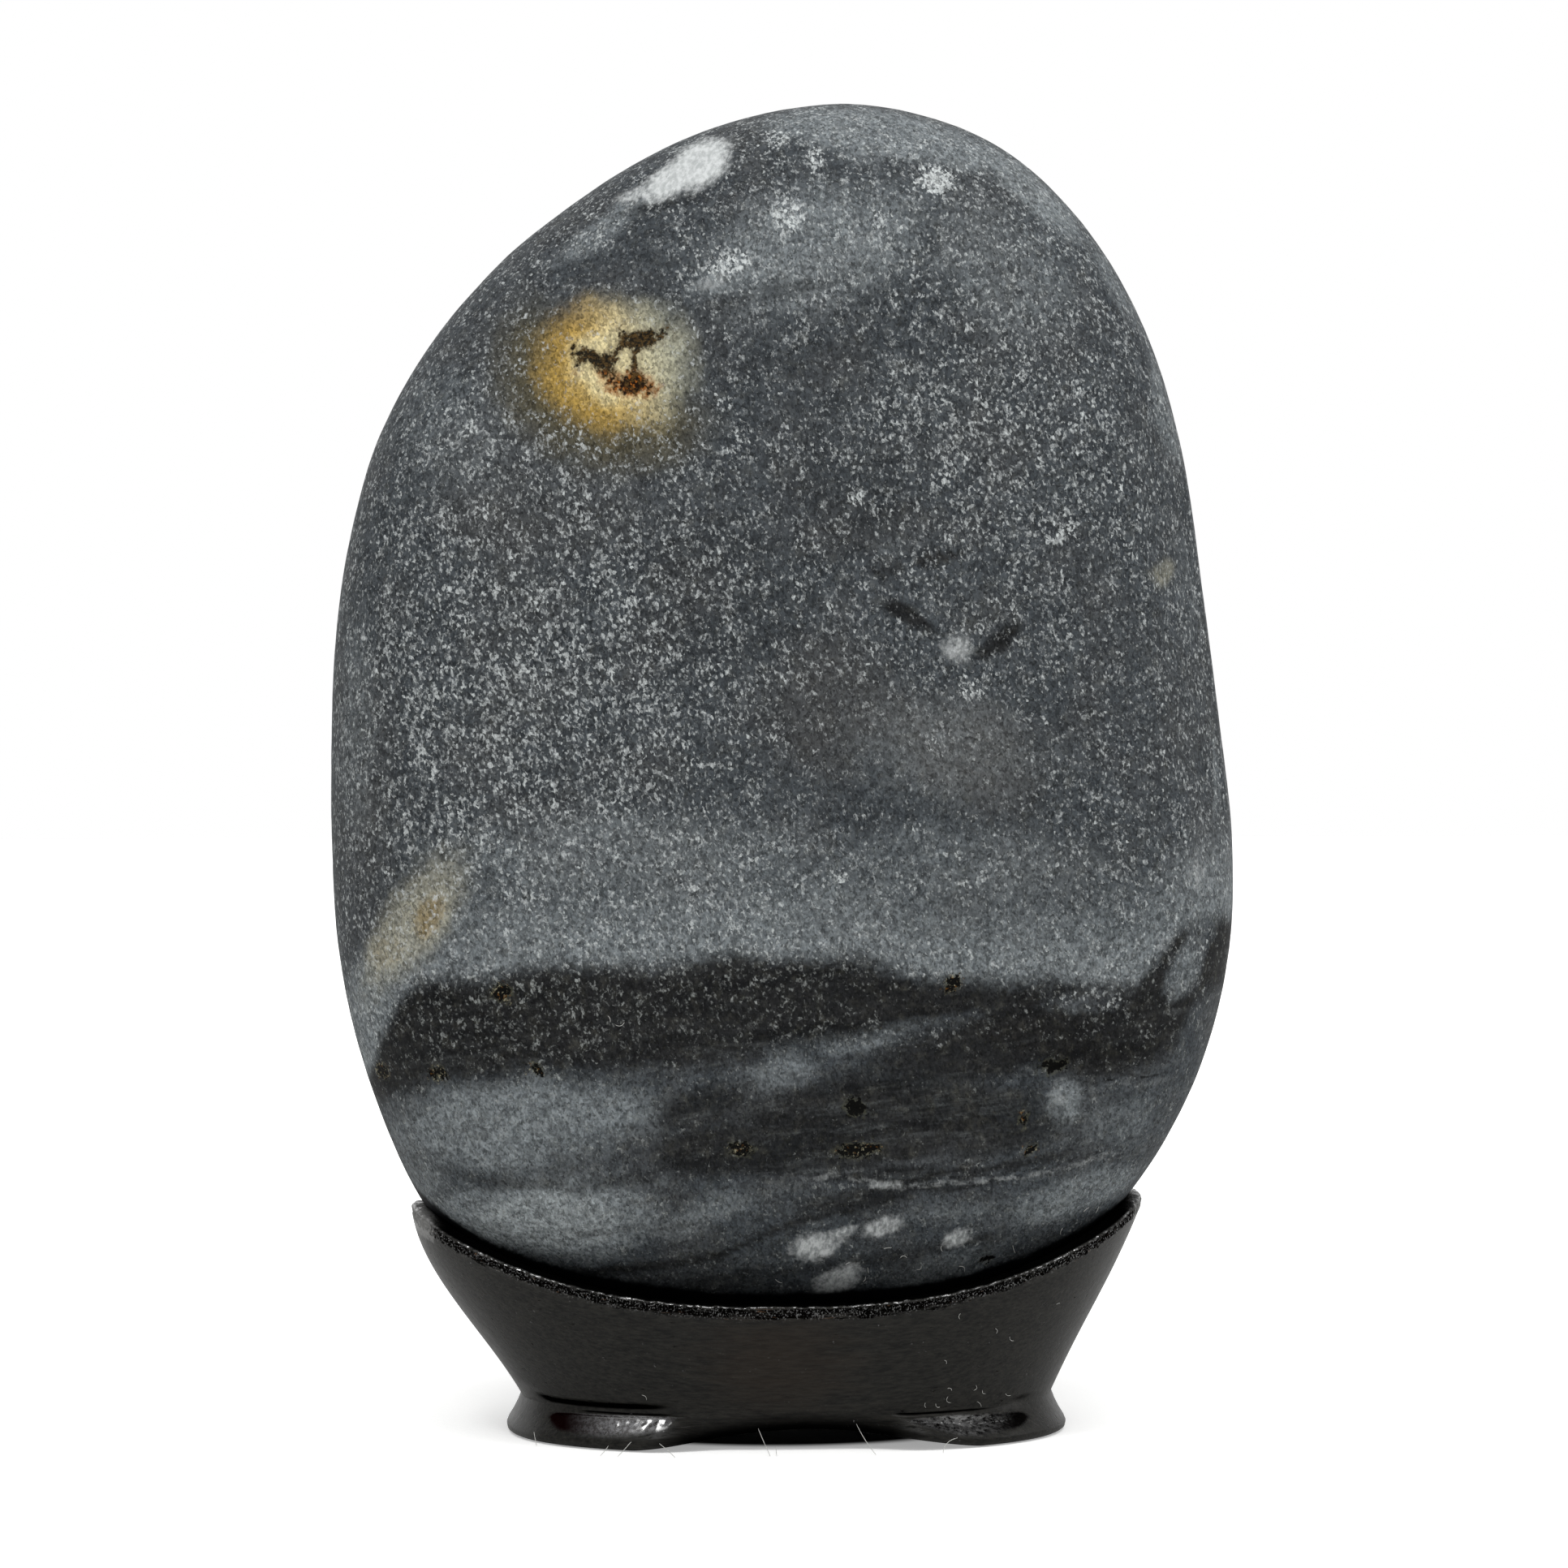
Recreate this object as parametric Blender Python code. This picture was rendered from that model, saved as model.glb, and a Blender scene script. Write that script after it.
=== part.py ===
"""Scholar's rock in a carved wooden stand.

Two pieces that come apart by hand: a water-worn pebble of dark stone, and the block of wood
carved to hold it upright. The pebble only rests in the seat.

Frame: metres, +Z up, origin on the floor under the middle of the object. +X runs along the
stand's long side and -Y is the face the stone shows.
"""

import bmesh
import bpy
import numpy as np
from mathutils import Matrix

MM = 0.001

# ------------------------------------------------------------------ driving dimensions
# Everything below is in millimetres until a mesh is made.

# The pebble's outline, seen from the front as (x, z), clockwise from the crown.
STONE_OUTLINE = [
    (6.0, 150.3), (22.0, 146.9), (33.5, 137.8), (41.2, 125.4), (45.4, 111.8),
    (48.0, 96.0), (50.0, 80.0), (51.1, 66.0), (50.5, 53.0), (47.0, 39.8),
    (40.4, 27.8), (31.5, 18.8), (18.0, 12.4), (2.0, 10.3), (-15.0, 12.0),
    (-30.0, 17.2), (-40.2, 25.4), (-46.8, 39.8), (-50.4, 55.0), (-51.2, 74.0),
    (-50.2, 93.5), (-46.6, 109.8), (-39.6, 123.4), (-28.2, 135.8), (-12.0, 146.0),
]
STONE_HEART = (0.0, 78.0)        # the point the outline's reach is measured from, (x, z)
EDGE_HALF_THICKNESS = 18.2       # middle plane to where the rounded edge meets a face
EDGE_WIDTH = 22.0                # how far in from the outline the rounding runs
EDGE_FULLNESS = 2.25             # 2 is a round edge; more is a squarer one
FRONT_CROWN = 2.4                # how far the middle of each face stands above its rim
BACK_CROWN = 2.5
CROWN_THINNING = 0.13            # share of the thickness lost from the heart to the top
FACET_DIRECTION = (0.80, -0.59, 0.11)   # the flat that is worn along the right front edge
FACET_DEPTH = 1.1
FACET_WEAR = 0.85                # share of the stone above the flat that is worn away

STONE_AROUND = 64
STONE_FRONT_TO_BACK = 32
EDGE_SHARE = 0.68                # share of those rings that the rounded edge takes

# The stand: an oval cup whose walls lean out, the left end further than the right. Each level
# of the wall is its height, its left and right ends along X, and its half depth.
WALL_LEVELS = [
    (4.3, -29.8, 30.7, 17.6),
    (12.8, -35.7, 35.0, 20.4),
    (20.2, -40.6, 38.8, 22.7),
    (24.0, -42.0, 40.5, 23.8),
    (31.0, -43.5, 43.0, 25.6),
]
WALL_LEAN_BELOW = 0.35           # how fast the wall goes on narrowing below the waist
OVAL_FULLNESS = 2.3              # 2 is an ellipse; more is squarer

RIM_FRONT_HEIGHT = 16.8
RIM_RISE_LEFT = 7.9              # rim height gained at RIM_REACH from the middle
RIM_RISE_RIGHT = 9.2
RIM_POWER_LEFT = 2.6
RIM_POWER_RIGHT = 2.5
RIM_REACH = 40.0
RIM_THICKNESS = 2.1

CREVICE_DEPTH = 3.4              # rim down to the ledge between the wall and the stone
SEAT_CLEARANCE = 0.45            # all round the stone where it sits

# Feet: one at each end, running round it from the front to the back. Each level of the toe is
# a height and how far it stands out past the waist.
TOE_LEVELS = [(0.0, 1.3), (0.75, 1.75), (1.3, 1.5), (2.2, 0.9), (3.2, 0.4)]
FOOT_STARTS = 7.0                # distance from the middle where a foot begins to stand out
FOOT_FULL = 15.0
ARCH_LEFT = -17.0                # where the arch between the feet meets the floor
ARCH_RIGHT = 21.0
ARCH_HEIGHT = 2.4
ARCH_ROUNDNESS = 1.3             # more makes a flatter start at each side
CUTTER_BELOW_FLOOR = 1.5

# The gouge cut along the front and back of each foot: a leaf shape with a sharp inner end,
# as its inner and outer ends along X.
GOUGES = {"left": (-10.8, -26.5), "right": (12.8, 27.0)}
GOUGE_HEIGHT = 2.7               # height of its middle line
GOUGE_HALF_HEIGHT = 1.2
GOUGE_REACH = 1.5                # from its middle line, outside the foot, to its deepest cut
GOUGE_POINT_SHARE = 0.25         # reach left at the sharp end

STAND_AROUND = 112


# ------------------------------------------------------------------ helpers

def clear_scene():
    for obj in list(bpy.data.objects):
        bpy.data.objects.remove(obj, do_unlink=True)


def make_collection(name):
    collection = bpy.data.collections.new(name)
    bpy.context.scene.collection.children.link(collection)
    return collection


def make_material(name, colour, roughness, metallic=0.0):
    material = bpy.data.materials.new(name)
    material.use_nodes = True
    shader = material.node_tree.nodes["Principled BSDF"]
    shader.inputs["Base Color"].default_value = (*colour, 1.0)
    shader.inputs["Roughness"].default_value = roughness
    shader.inputs["Metallic"].default_value = metallic
    return material


def object_from_bmesh(bm, name, collection):
    """Closes the bmesh into an object, in metres, with its faces pointing out."""
    bmesh.ops.scale(bm, vec=(MM, MM, MM), verts=bm.verts)
    bmesh.ops.recalc_face_normals(bm, faces=bm.faces)
    mesh = bpy.data.meshes.new(name)
    bm.to_mesh(mesh)
    bm.free()
    obj = bpy.data.objects.new(name, mesh)
    collection.objects.link(obj)
    return obj


def make_cutter(obj):
    obj.hide_render = True
    obj.display_type = "WIRE"
    return obj


def add_boolean(obj, cutter, operation="DIFFERENCE"):
    cut = obj.modifiers.new(cutter.name, "BOOLEAN")
    cut.operation = operation
    cut.solver = "EXACT"
    cut.object = cutter


def smooth_step(value, low, high):
    t = np.clip((value - low) / (high - low), 0.0, 1.0)
    return t * t * (3.0 - 2.0 * t)


# ------------------------------------------------------------------ the stone

def outline_curve(points, steps=12):
    """A closed Catmull-Rom curve: it passes through every point with no corner."""
    p1 = np.array(points)
    p0, p2, p3 = (np.roll(p1, shift, axis=0) for shift in (1, -1, -2))
    t = np.linspace(0.0, 1.0, steps, endpoint=False)[:, None, None]
    curve = 0.5 * (
        2 * p1
        + (p2 - p0) * t
        + (2 * p0 - 5 * p1 + 4 * p2 - p3) * t**2
        + (3 * p1 - p0 - 3 * p2 + p3) * t**3
    )
    return curve.transpose(1, 0, 2).reshape(-1, 2)


def outline_reach(angles):
    """Distance from the heart to the outline in each direction, 0 along +X and 90 up."""
    around = outline_curve(STONE_OUTLINE) - np.array(STONE_HEART)
    bearing = np.arctan2(around[:, 1], around[:, 0])
    return np.interp(angles, *sorted_pair(bearing, np.hypot(*around.T)), period=2 * np.pi)


def sorted_pair(keys, values):
    order = np.argsort(keys)
    return keys[order], values[order]


def pebble_points(unit):
    """Carries points of a unit ball, with its poles on Y, onto the pebble.

    The ball's latitude is shared between the rounded edge, which is a quarter of a
    superellipse, and the nearly flat face inside it. Seen from the front, the ball's equator
    becomes the outline.
    """
    angles = np.arctan2(unit[:, 2], unit[:, 0])
    latitude = np.arcsin(np.clip(np.abs(unit[:, 1]), 0.0, 1.0)) / (np.pi / 2)
    turn = np.clip(latitude / EDGE_SHARE, 0.0, 1.0) * np.pi / 2
    power = 2.0 / EDGE_FULLNESS
    inward = EDGE_WIDTH * (1.0 - np.cos(turn) ** power)
    swell = np.sin(turn) ** power
    reach = outline_reach(angles)
    on_face = np.clip((1.0 - latitude) / (1.0 - EDGE_SHARE), 0.0, 1.0)
    out = (reach - inward) * on_face
    crown = np.where(unit[:, 1] < 0.0, FRONT_CROWN, BACK_CROWN)
    half = swell * (EDGE_HALF_THICKNESS + crown * (1.0 - (out / reach) ** 2))
    z = STONE_HEART[1] + out * np.sin(angles)
    top = STONE_HEART[1] + outline_reach(np.pi / 2)
    thinning = 1.0 - CROWN_THINNING * smooth_step(z, STONE_HEART[1], top)
    points = np.column_stack([
        STONE_HEART[0] + out * np.cos(angles),
        np.sign(unit[:, 1]) * half * thinning,
        z,
    ])
    outward = np.array(FACET_DIRECTION) / np.linalg.norm(FACET_DIRECTION)
    height = points @ outward
    proud = np.maximum(height - (height.max() - FACET_DEPTH), 0.0)
    return points - FACET_WEAR * proud[:, None] * outward


def pebble_bmesh(grown_by=0.0):
    bm = bmesh.new()
    bmesh.ops.create_uvsphere(
        bm, u_segments=STONE_AROUND, v_segments=STONE_FRONT_TO_BACK, radius=1.0,
        matrix=Matrix.Rotation(np.pi / 2, 4, "X"),
    )
    places = pebble_points(np.array([vert.co[:] for vert in bm.verts]))
    for vert, place in zip(bm.verts, places):
        vert.co = place
    bm.normal_update()
    if grown_by:
        for vert in bm.verts:
            vert.co += vert.normal * grown_by
    return bm


def make_stone(collection):
    stone = object_from_bmesh(pebble_bmesh(), "stone", collection)
    stone.data.shade_smooth()
    stone.data.materials.append(make_material("stone", (0.094, 0.104, 0.114), 0.6))
    return stone


# ------------------------------------------------------------------ the stand

def rim_height(x):
    left = RIM_RISE_LEFT * (np.abs(x) / RIM_REACH) ** RIM_POWER_LEFT
    right = RIM_RISE_RIGHT * (np.abs(x) / RIM_REACH) ** RIM_POWER_RIGHT
    return RIM_FRONT_HEIGHT + np.where(x < 0.0, left, right)


def oval(half_width, half_depth):
    """A slightly squared oval: x, y and how far along X each point is, from -1 to 1."""
    turn = np.linspace(0.0, 2 * np.pi, STAND_AROUND, endpoint=False)
    power = 2.0 / OVAL_FULLNESS
    across = np.sign(np.cos(turn)) * np.abs(np.cos(turn)) ** power
    along = np.sign(np.sin(turn)) * np.abs(np.sin(turn)) ** power
    return half_width * across, half_depth * along, across, along


def wall_ring(level, inset=0.0):
    """One level of the cup's wall, moved inwards by inset."""
    height, left, right, half_depth = level
    x, y, _, _ = oval((right - left) / 2 - inset, half_depth - inset)
    return np.column_stack([x + (left + right) / 2, y, np.full_like(x, height)])


def toe_ring(height, stand_out):
    """One level below the waist: it stands out at the feet and leans in between them."""
    waist, left, right, half_depth = WALL_LEVELS[0]
    x, y, across, along = oval((right - left) / 2, half_depth)
    at_foot = smooth_step(np.abs(x), FOOT_STARTS, FOOT_FULL)
    lean = WALL_LEAN_BELOW * (waist - height) * (1.0 - at_foot)
    out = stand_out * at_foot - lean
    return np.column_stack([
        x + (left + right) / 2 + out * across,
        y + out * along,
        np.full_like(x, height),
    ])


def stack_rings(rings, name, collection):
    """Bridges a column of rings into one closed body with a flat top and bottom."""
    bm = bmesh.new()
    loops = []
    for ring in rings:
        made = bmesh.ops.create_circle(bm, segments=STAND_AROUND, radius=1.0)
        for vert, place in zip(made["verts"], ring):
            vert.co = place
        loops.append(list({edge for vert in made["verts"] for edge in vert.link_edges}))
    for lower, upper in zip(loops, loops[1:]):
        bmesh.ops.bridge_loops(bm, edges=lower + upper)
    bmesh.ops.holes_fill(bm, edges=loops[0] + loops[-1])
    return object_from_bmesh(bm, name, collection)


def extruded_outline(points, name, collection, half_length=40.0):
    """A flat outline in the XZ plane, carried along Y, as a mesh that can cut or be cut."""
    curve = bpy.data.curves.new(name, "CURVE")
    curve.dimensions = "2D"
    curve.fill_mode = "BOTH"
    curve.extrude = half_length
    spline = curve.splines.new("POLY")
    spline.points.add(len(points) - 1)
    for point, (x, z) in zip(spline.points, points):
        point.co = (x, z, 0.0, 1.0)
    spline.use_cyclic_u = True
    source = bpy.data.objects.new(name + "_curve", curve)
    collection.objects.link(source)
    source.matrix_world = Matrix.Rotation(np.pi / 2, 4, "X")
    bpy.context.view_layer.update()
    solid = bpy.data.meshes.new_from_object(source.evaluated_get(
        bpy.context.evaluated_depsgraph_get()
    ))
    bm = bmesh.new()
    bm.from_mesh(solid)
    bmesh.ops.remove_doubles(bm, verts=bm.verts, dist=0.0001)
    bmesh.ops.transform(bm, matrix=source.matrix_world, verts=bm.verts)
    bpy.data.objects.remove(source, do_unlink=True)
    return object_from_bmesh(bm, name, collection)


def above_rim(drop, name, collection):
    """Everything above the rim's dipping curve, lowered by drop."""
    x = np.linspace(-50.0, 50.0, 61)
    edge = list(zip(x, rim_height(x) - drop))
    return extruded_outline(edge + [(50.0, 60.0), (-50.0, 60.0)], name, collection)


def make_arch(collection):
    """The low opening between the feet, right through from the front to the back."""
    x = np.linspace(ARCH_LEFT, ARCH_RIGHT, 25)
    share = (x - ARCH_LEFT) / (ARCH_RIGHT - ARCH_LEFT)
    edge = list(zip(x, ARCH_HEIGHT * np.sin(np.pi * share) ** ARCH_ROUNDNESS))
    base = [(ARCH_RIGHT, -CUTTER_BELOW_FLOOR), (ARCH_LEFT, -CUTTER_BELOW_FLOOR)]
    return make_cutter(extruded_outline(edge + base, "arch_cutter", collection))


def waist_depth_at(x):
    """Half depth of the waist's oval at x."""
    _, left, right, half_depth = WALL_LEVELS[0]
    share = min(abs(2 * x - left - right) / (right - left), 1.0)
    return half_depth * (1.0 - share**OVAL_FULLNESS) ** (1.0 / OVAL_FULLNESS)


def make_gouge(side, face, collection):
    """A slim leaf, pointed towards the middle, sunk into one foot at its front or back."""
    bm = bmesh.new()
    bmesh.ops.create_uvsphere(
        bm, u_segments=14, v_segments=16, radius=1.0, matrix=Matrix.Rotation(np.pi / 2, 4, "Y"),
    )
    inner, outer = GOUGES[side]
    widest_toe = max(toe for height, toe in TOE_LEVELS)
    for vert in bm.verts:
        share = 0.5 + 0.5 * vert.co.x
        x = inner + (outer - inner) * share
        reach = GOUGE_REACH * (GOUGE_POINT_SHARE + (1.0 - GOUGE_POINT_SHARE) * share)
        y = waist_depth_at(x) + widest_toe + reach * vert.co.y
        z = GOUGE_HEIGHT + GOUGE_HALF_HEIGHT * vert.co.z
        vert.co = (x, y if face == "back" else -y, z)
    return make_cutter(object_from_bmesh(bm, f"gouge_{side}_{face}", collection))


def make_stand(collection, cutters):
    block = stack_rings(
        [toe_ring(*level) for level in TOE_LEVELS] + [wall_ring(level) for level in WALL_LEVELS],
        "stand", collection,
    )
    hollow = stack_rings(
        [wall_ring(level, RIM_THICKNESS) for level in WALL_LEVELS], "hollow_cutter", cutters,
    )
    ledge = make_cutter(above_rim(CREVICE_DEPTH, "ledge_guide", cutters))
    add_boolean(make_cutter(hollow), ledge, "INTERSECT")
    seat = object_from_bmesh(pebble_bmesh(SEAT_CLEARANCE), "seat_cutter", cutters)
    add_boolean(block, make_cutter(above_rim(0.0, "rim_cutter", cutters)))
    add_boolean(block, hollow)
    add_boolean(block, make_cutter(seat))
    add_boolean(block, make_arch(cutters))
    for side in GOUGES:
        for face in ("front", "back"):
            add_boolean(block, make_gouge(side, face, cutters))
    block.data.materials.append(make_material("stand", (0.014, 0.012, 0.011), 0.3))
    block.data.shade_smooth()
    block.data.set_sharp_from_angle(angle=np.radians(35.0))
    return block


# ------------------------------------------------------------------ the object

clear_scene()
parts = make_collection("scholars_rock")
cutters = make_collection("cutters")
make_stone(parts)
make_stand(parts, cutters)
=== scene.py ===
# %% [markdown]
# # A scholar's rock in its carved stand
#
# The real object is two things: a water-worn pebble of dark, fine-grained stone, and a block
# of wood carved to hold it upright and finished in black lacquer. The CAD frame already gives
# both their true size and place. This lesson replaces each with a closer skin of its own,
# worked out as a surface with numpy, and then finishes it with a procedural material.
#
# All sizes below are millimetres until a mesh is made.

import bpy
import numpy as np
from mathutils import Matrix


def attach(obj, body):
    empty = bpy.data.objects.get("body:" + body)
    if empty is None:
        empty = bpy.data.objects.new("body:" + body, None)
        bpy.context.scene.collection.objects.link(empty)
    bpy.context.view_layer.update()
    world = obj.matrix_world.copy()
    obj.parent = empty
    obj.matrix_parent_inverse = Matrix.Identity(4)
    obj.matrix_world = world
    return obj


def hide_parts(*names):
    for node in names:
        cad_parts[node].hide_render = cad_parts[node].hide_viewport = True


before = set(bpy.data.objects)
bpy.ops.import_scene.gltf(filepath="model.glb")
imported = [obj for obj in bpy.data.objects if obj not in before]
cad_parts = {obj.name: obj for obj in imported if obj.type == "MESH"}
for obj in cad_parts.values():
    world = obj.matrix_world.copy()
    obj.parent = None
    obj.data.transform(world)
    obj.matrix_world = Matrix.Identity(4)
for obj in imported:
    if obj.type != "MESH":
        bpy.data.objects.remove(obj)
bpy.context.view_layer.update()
MM = 0.001

# %% [markdown]
# ## Small tools
#
# Three small functions do most of the shaping. `smooth_step` eases from 0 to 1 between two
# values. `lattice_noise` is the gentle randomness of a worn surface. `mesh_from_triangles`
# puts finished arrays straight into a mesh, which is far quicker than adding vertices one by
# one, and keeps any number of painted fields with it as attributes.

# %% Easing and noise


def smooth_step(value, low, high):
    """0 below low, 1 above high, and 3t^2 - 2t^3 between them."""
    t = np.clip((value - low) / (high - low), 0.0, 1.0)
    return t * t * (3.0 - 2.0 * t)


def lattice_noise(places, size, seed):
    """Noise from -1 to 1: random numbers on a cubic lattice, size mm apart, eased between."""
    lattice = 32
    table = np.random.default_rng(seed).uniform(-1.0, 1.0, (lattice,) * 3)
    spot = places / size
    cell = np.floor(spot).astype(int)
    t = smooth_step(spot - cell, 0.0, 1.0)
    total = np.zeros(len(places))
    for corner in np.ndindex(2, 2, 2):
        weight = np.prod(np.where(corner, t, 1.0 - t), axis=1)
        total += weight * table[tuple(((cell + corner) % lattice).T)]
    return total


# %% From arrays to a mesh


def mesh_from_triangles(name, points, triangles, fields=None):
    """An object from points in mm, rows of three corners, and a dict of one value per point."""
    mesh = bpy.data.meshes.new(name)
    mesh.vertices.add(len(points))
    mesh.vertices.foreach_set("co", (points * MM).astype(np.float32).ravel())
    mesh.loops.add(triangles.size)
    mesh.loops.foreach_set("vertex_index", triangles.astype(np.int32).ravel())
    mesh.polygons.add(len(triangles))
    mesh.polygons.foreach_set("loop_start", np.arange(0, triangles.size, 3, dtype=np.int32))
    mesh.update(calc_edges=True)
    mesh.shade_smooth()
    for field, values in (fields or {}).items():
        layer = mesh.attributes.new(field, "FLOAT", "POINT")
        layer.data.foreach_set("value", values.astype(np.float32))
    obj = bpy.data.objects.new(name, mesh)
    bpy.context.scene.collection.objects.link(obj)
    corners = points[triangles]
    volume = np.einsum("ij,ij->i", corners[:, 0], np.cross(corners[:, 1], corners[:, 2])).sum()
    print(name, len(triangles), "triangles, volume", round(volume / 6000.0, 2), "ml")
    return obj


def point_normals(points, triangles):
    """The unit normal at each point: the sum of the area vectors of the faces around it."""
    corners = points[triangles]
    area = np.cross(corners[:, 1] - corners[:, 0], corners[:, 2] - corners[:, 0])
    total = np.column_stack([
        np.bincount(triangles.ravel(), np.repeat(area[:, axis], 3), len(points))
        for axis in range(3)
    ])
    return total / np.linalg.norm(total, axis=1, keepdims=True)


# %% [markdown]
# ## The camera and the studio
#
# The object stands in a white sweep of paper and light: bright behind and above, dimmer in
# front, so the flat face of the stone stays dark while its rounded edges pick up the glow.
# A world shader can do most of this. It looks plain white to the camera, and gives the
# object a soft gradient of light. Four square lamps add direction and glints, and a floor
# catches the faint shadow. The floor's colour adds a painted shadow under the stand, and a
# painted glow, seen only by the camera, around it.

# %% Camera
CAMERA_PLACE = (-28.6, -549.3, 92.0)
CAMERA_TILT = 1.925     # degrees down
CAMERA_TURN = -3.0      # degrees, anticlockwise from above
FOCAL_SHARE = 3.080     # focal length over the width of the sensor

camera_data = bpy.data.cameras.new("camera")
camera_data.sensor_width = 36.0
camera_data.lens = 36.0 * FOCAL_SHARE
camera = bpy.data.objects.new("camera", camera_data)
camera.location = np.array(CAMERA_PLACE) * MM
camera.rotation_euler = np.radians([90.0 - CAMERA_TILT, 0.0, CAMERA_TURN])
bpy.context.scene.collection.objects.link(camera)
bpy.context.scene.camera = camera
bpy.context.scene.view_settings.view_transform = "Standard"
print("camera lens", round(camera_data.lens, 1), "mm")

# %% [markdown]
# ## Shader helpers
#
# Every material below is a graph of nodes. Built by hand it would be wires and boxes, but it
# reads best as the sums it stands for. So a `Number` holds the output of a node, and a sum
# written with it, such as `a * 0.5 + b`, adds the Math nodes that work it out. The rest of
# these helpers each add one kind of node, with its sockets filled.

# %% Numbers made of nodes


class Number:
    """A number that nodes work out. Adding, taking away and multiplying make more nodes."""

    def __init__(self, socket):
        self.socket = socket

    def __add__(self, other):
        return calc("ADD", self, other)

    def __sub__(self, other):
        return calc("SUBTRACT", self, other)

    def __rsub__(self, other):
        return calc("SUBTRACT", other, self)

    def __mul__(self, other):
        return calc("MULTIPLY", self, other)

    __radd__ = __add__
    __rmul__ = __mul__


def feed(node, sockets):
    """Fills sockets by name: a Number or another node's output is linked, a value is stored."""
    for name, value in sockets.items():
        source = value.socket if isinstance(value, Number) else value
        if isinstance(source, bpy.types.NodeSocket):
            node.id_data.links.new(source, node.inputs[name])
        else:
            node.inputs[name].default_value = source
    return node


def put(tree, kind, sockets=None, **settings):
    """Adds a node to a tree, with its settings made and its sockets filled."""
    node = tree.nodes.new(kind)
    for name, value in settings.items():
        setattr(node, name, value)
    return feed(node, sockets or {})


def calc(operation, *values):
    """One sum of a Math node, such as ADD, in the tree that its numbers come from."""
    tree = next(value for value in values if isinstance(value, Number)).socket.id_data
    node = put(tree, "ShaderNodeMath", dict(enumerate(values)), operation=operation)
    return Number(node.outputs[0])


def strongest(first, *others):
    """The largest of some numbers."""
    for other in others:
        first = calc("MAXIMUM", first, other)
    return first


def eased(value, low, high):
    """0 at low and 1 at high, with a soft step between; low may be the larger."""
    sockets = {"Value": value, "From Min": min(low, high), "From Max": max(low, high),
               "To Min": float(low > high), "To Max": float(low < high)}
    return Number(put(
        value.socket.id_data, "ShaderNodeMapRange", sockets, interpolation_type="SMOOTHSTEP"
    ).outputs["Result"])


# %% Places, noise and colours


def millimetres(tree, stretch=(1.0, 1.0, 1.0), turn=(0.0, 0.0, 0.0)):
    """Object coordinates in millimetres, turned by degrees and then stretched."""
    place = put(tree, "ShaderNodeTexCoord").outputs["Object"]
    scale = [part / MM for part in stretch]
    turned = put(tree, "ShaderNodeMapping", {"Vector": place, "Rotation": np.radians(turn)})
    return put(
        tree, "ShaderNodeMapping", {"Vector": turned.outputs[0], "Scale": scale}
    ).outputs[0]


def along_x(place):
    """The X part of a place."""
    return Number(put(place.id_data, "ShaderNodeSeparateXYZ", {0: place}).outputs[0])


def length(place):
    """How far a place is from the origin, in its own stretched units."""
    node = put(place.id_data, "ShaderNodeVectorMath", {0: place}, operation="LENGTH")
    return Number(node.outputs["Value"])


def noise(place, per_mm, detail=2.0, roughness=0.5):
    """Noise from 0 to 1 with per_mm features in a millimetre."""
    sockets = {"Vector": place, "Scale": per_mm, "Detail": detail, "Roughness": roughness}
    return Number(put(place.id_data, "ShaderNodeTexNoise", sockets).outputs["Fac"])


def field(tree, name):
    """A field painted on the mesh's points."""
    return Number(put(
        tree, "ShaderNodeAttribute", attribute_type="GEOMETRY", attribute_name=name
    ).outputs["Fac"])


def rgb(red, green, blue):
    return (red, green, blue, 1.0)


def mixed(share, first, second):
    """Two colours mixed: a share of 0 is the first, and 1 the second."""
    sockets = {0: share, 6: first, 7: second}
    return put(share.socket.id_data, "ShaderNodeMix", sockets, data_type="RGBA").outputs[2]


def bumped(height, strength, distance):
    """A normal tilted by a height, where 1 stands distance metres proud."""
    sockets = {"Height": height, "Strength": strength, "Distance": distance}
    return put(height.socket.id_data, "ShaderNodeBump", sockets).outputs[0]


def new_material(name):
    material = bpy.data.materials.new(name)
    material.use_nodes = True
    tree = material.node_tree
    return material, tree, tree.nodes["Principled BSDF"]


# %% The studio light
WORLD_FRONT = 0.34
WORLD_BEHIND = 0.80     # added behind the object
WORLD_ABOVE = 0.12      # added overhead
WORLD_RIGHT = 0.03      # added on the right
LIGHT_AIM = 75.0        # height of the point that every lamp faces
WHITE = rgb(1.0, 1.0, 1.0)

world = bpy.data.worlds.new("studio")
world.use_nodes = True
bpy.context.scene.world = world
sky = world.node_tree
direction = put(sky, "ShaderNodeTexCoord").outputs["Generated"]
right, behind, above = map(Number, put(sky, "ShaderNodeSeparateXYZ", {0: direction}).outputs)
glow = eased(behind, -0.2, 0.8) * WORLD_BEHIND + WORLD_FRONT
glow += eased(above, 0.0, 1.0) * WORLD_ABOVE
glow += eased(right, 0.0, 1.0) * WORLD_RIGHT
seen = put(sky, "ShaderNodeLightPath").outputs["Is Camera Ray"]
strength = put(sky, "ShaderNodeMix", {0: seen, 2: glow, 3: 1.0}, data_type="FLOAT").outputs[0]
feed(sky.nodes["Background"], {"Color": WHITE, "Strength": strength})


def soft_box(name, place, size, power):
    """A square lamp of size mm at place, turned to face the middle of the stone."""
    lamp = bpy.data.lights.new(name, "AREA")
    lamp.size = size * MM
    lamp.energy = power
    box = bpy.data.objects.new(name, lamp)
    box.location = np.array(place) * MM
    aim = box.location * -1.0
    aim.z += LIGHT_AIM * MM
    box.rotation_euler = aim.to_track_quat("-Z", "Y").to_euler()
    bpy.context.scene.collection.objects.link(box)


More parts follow.
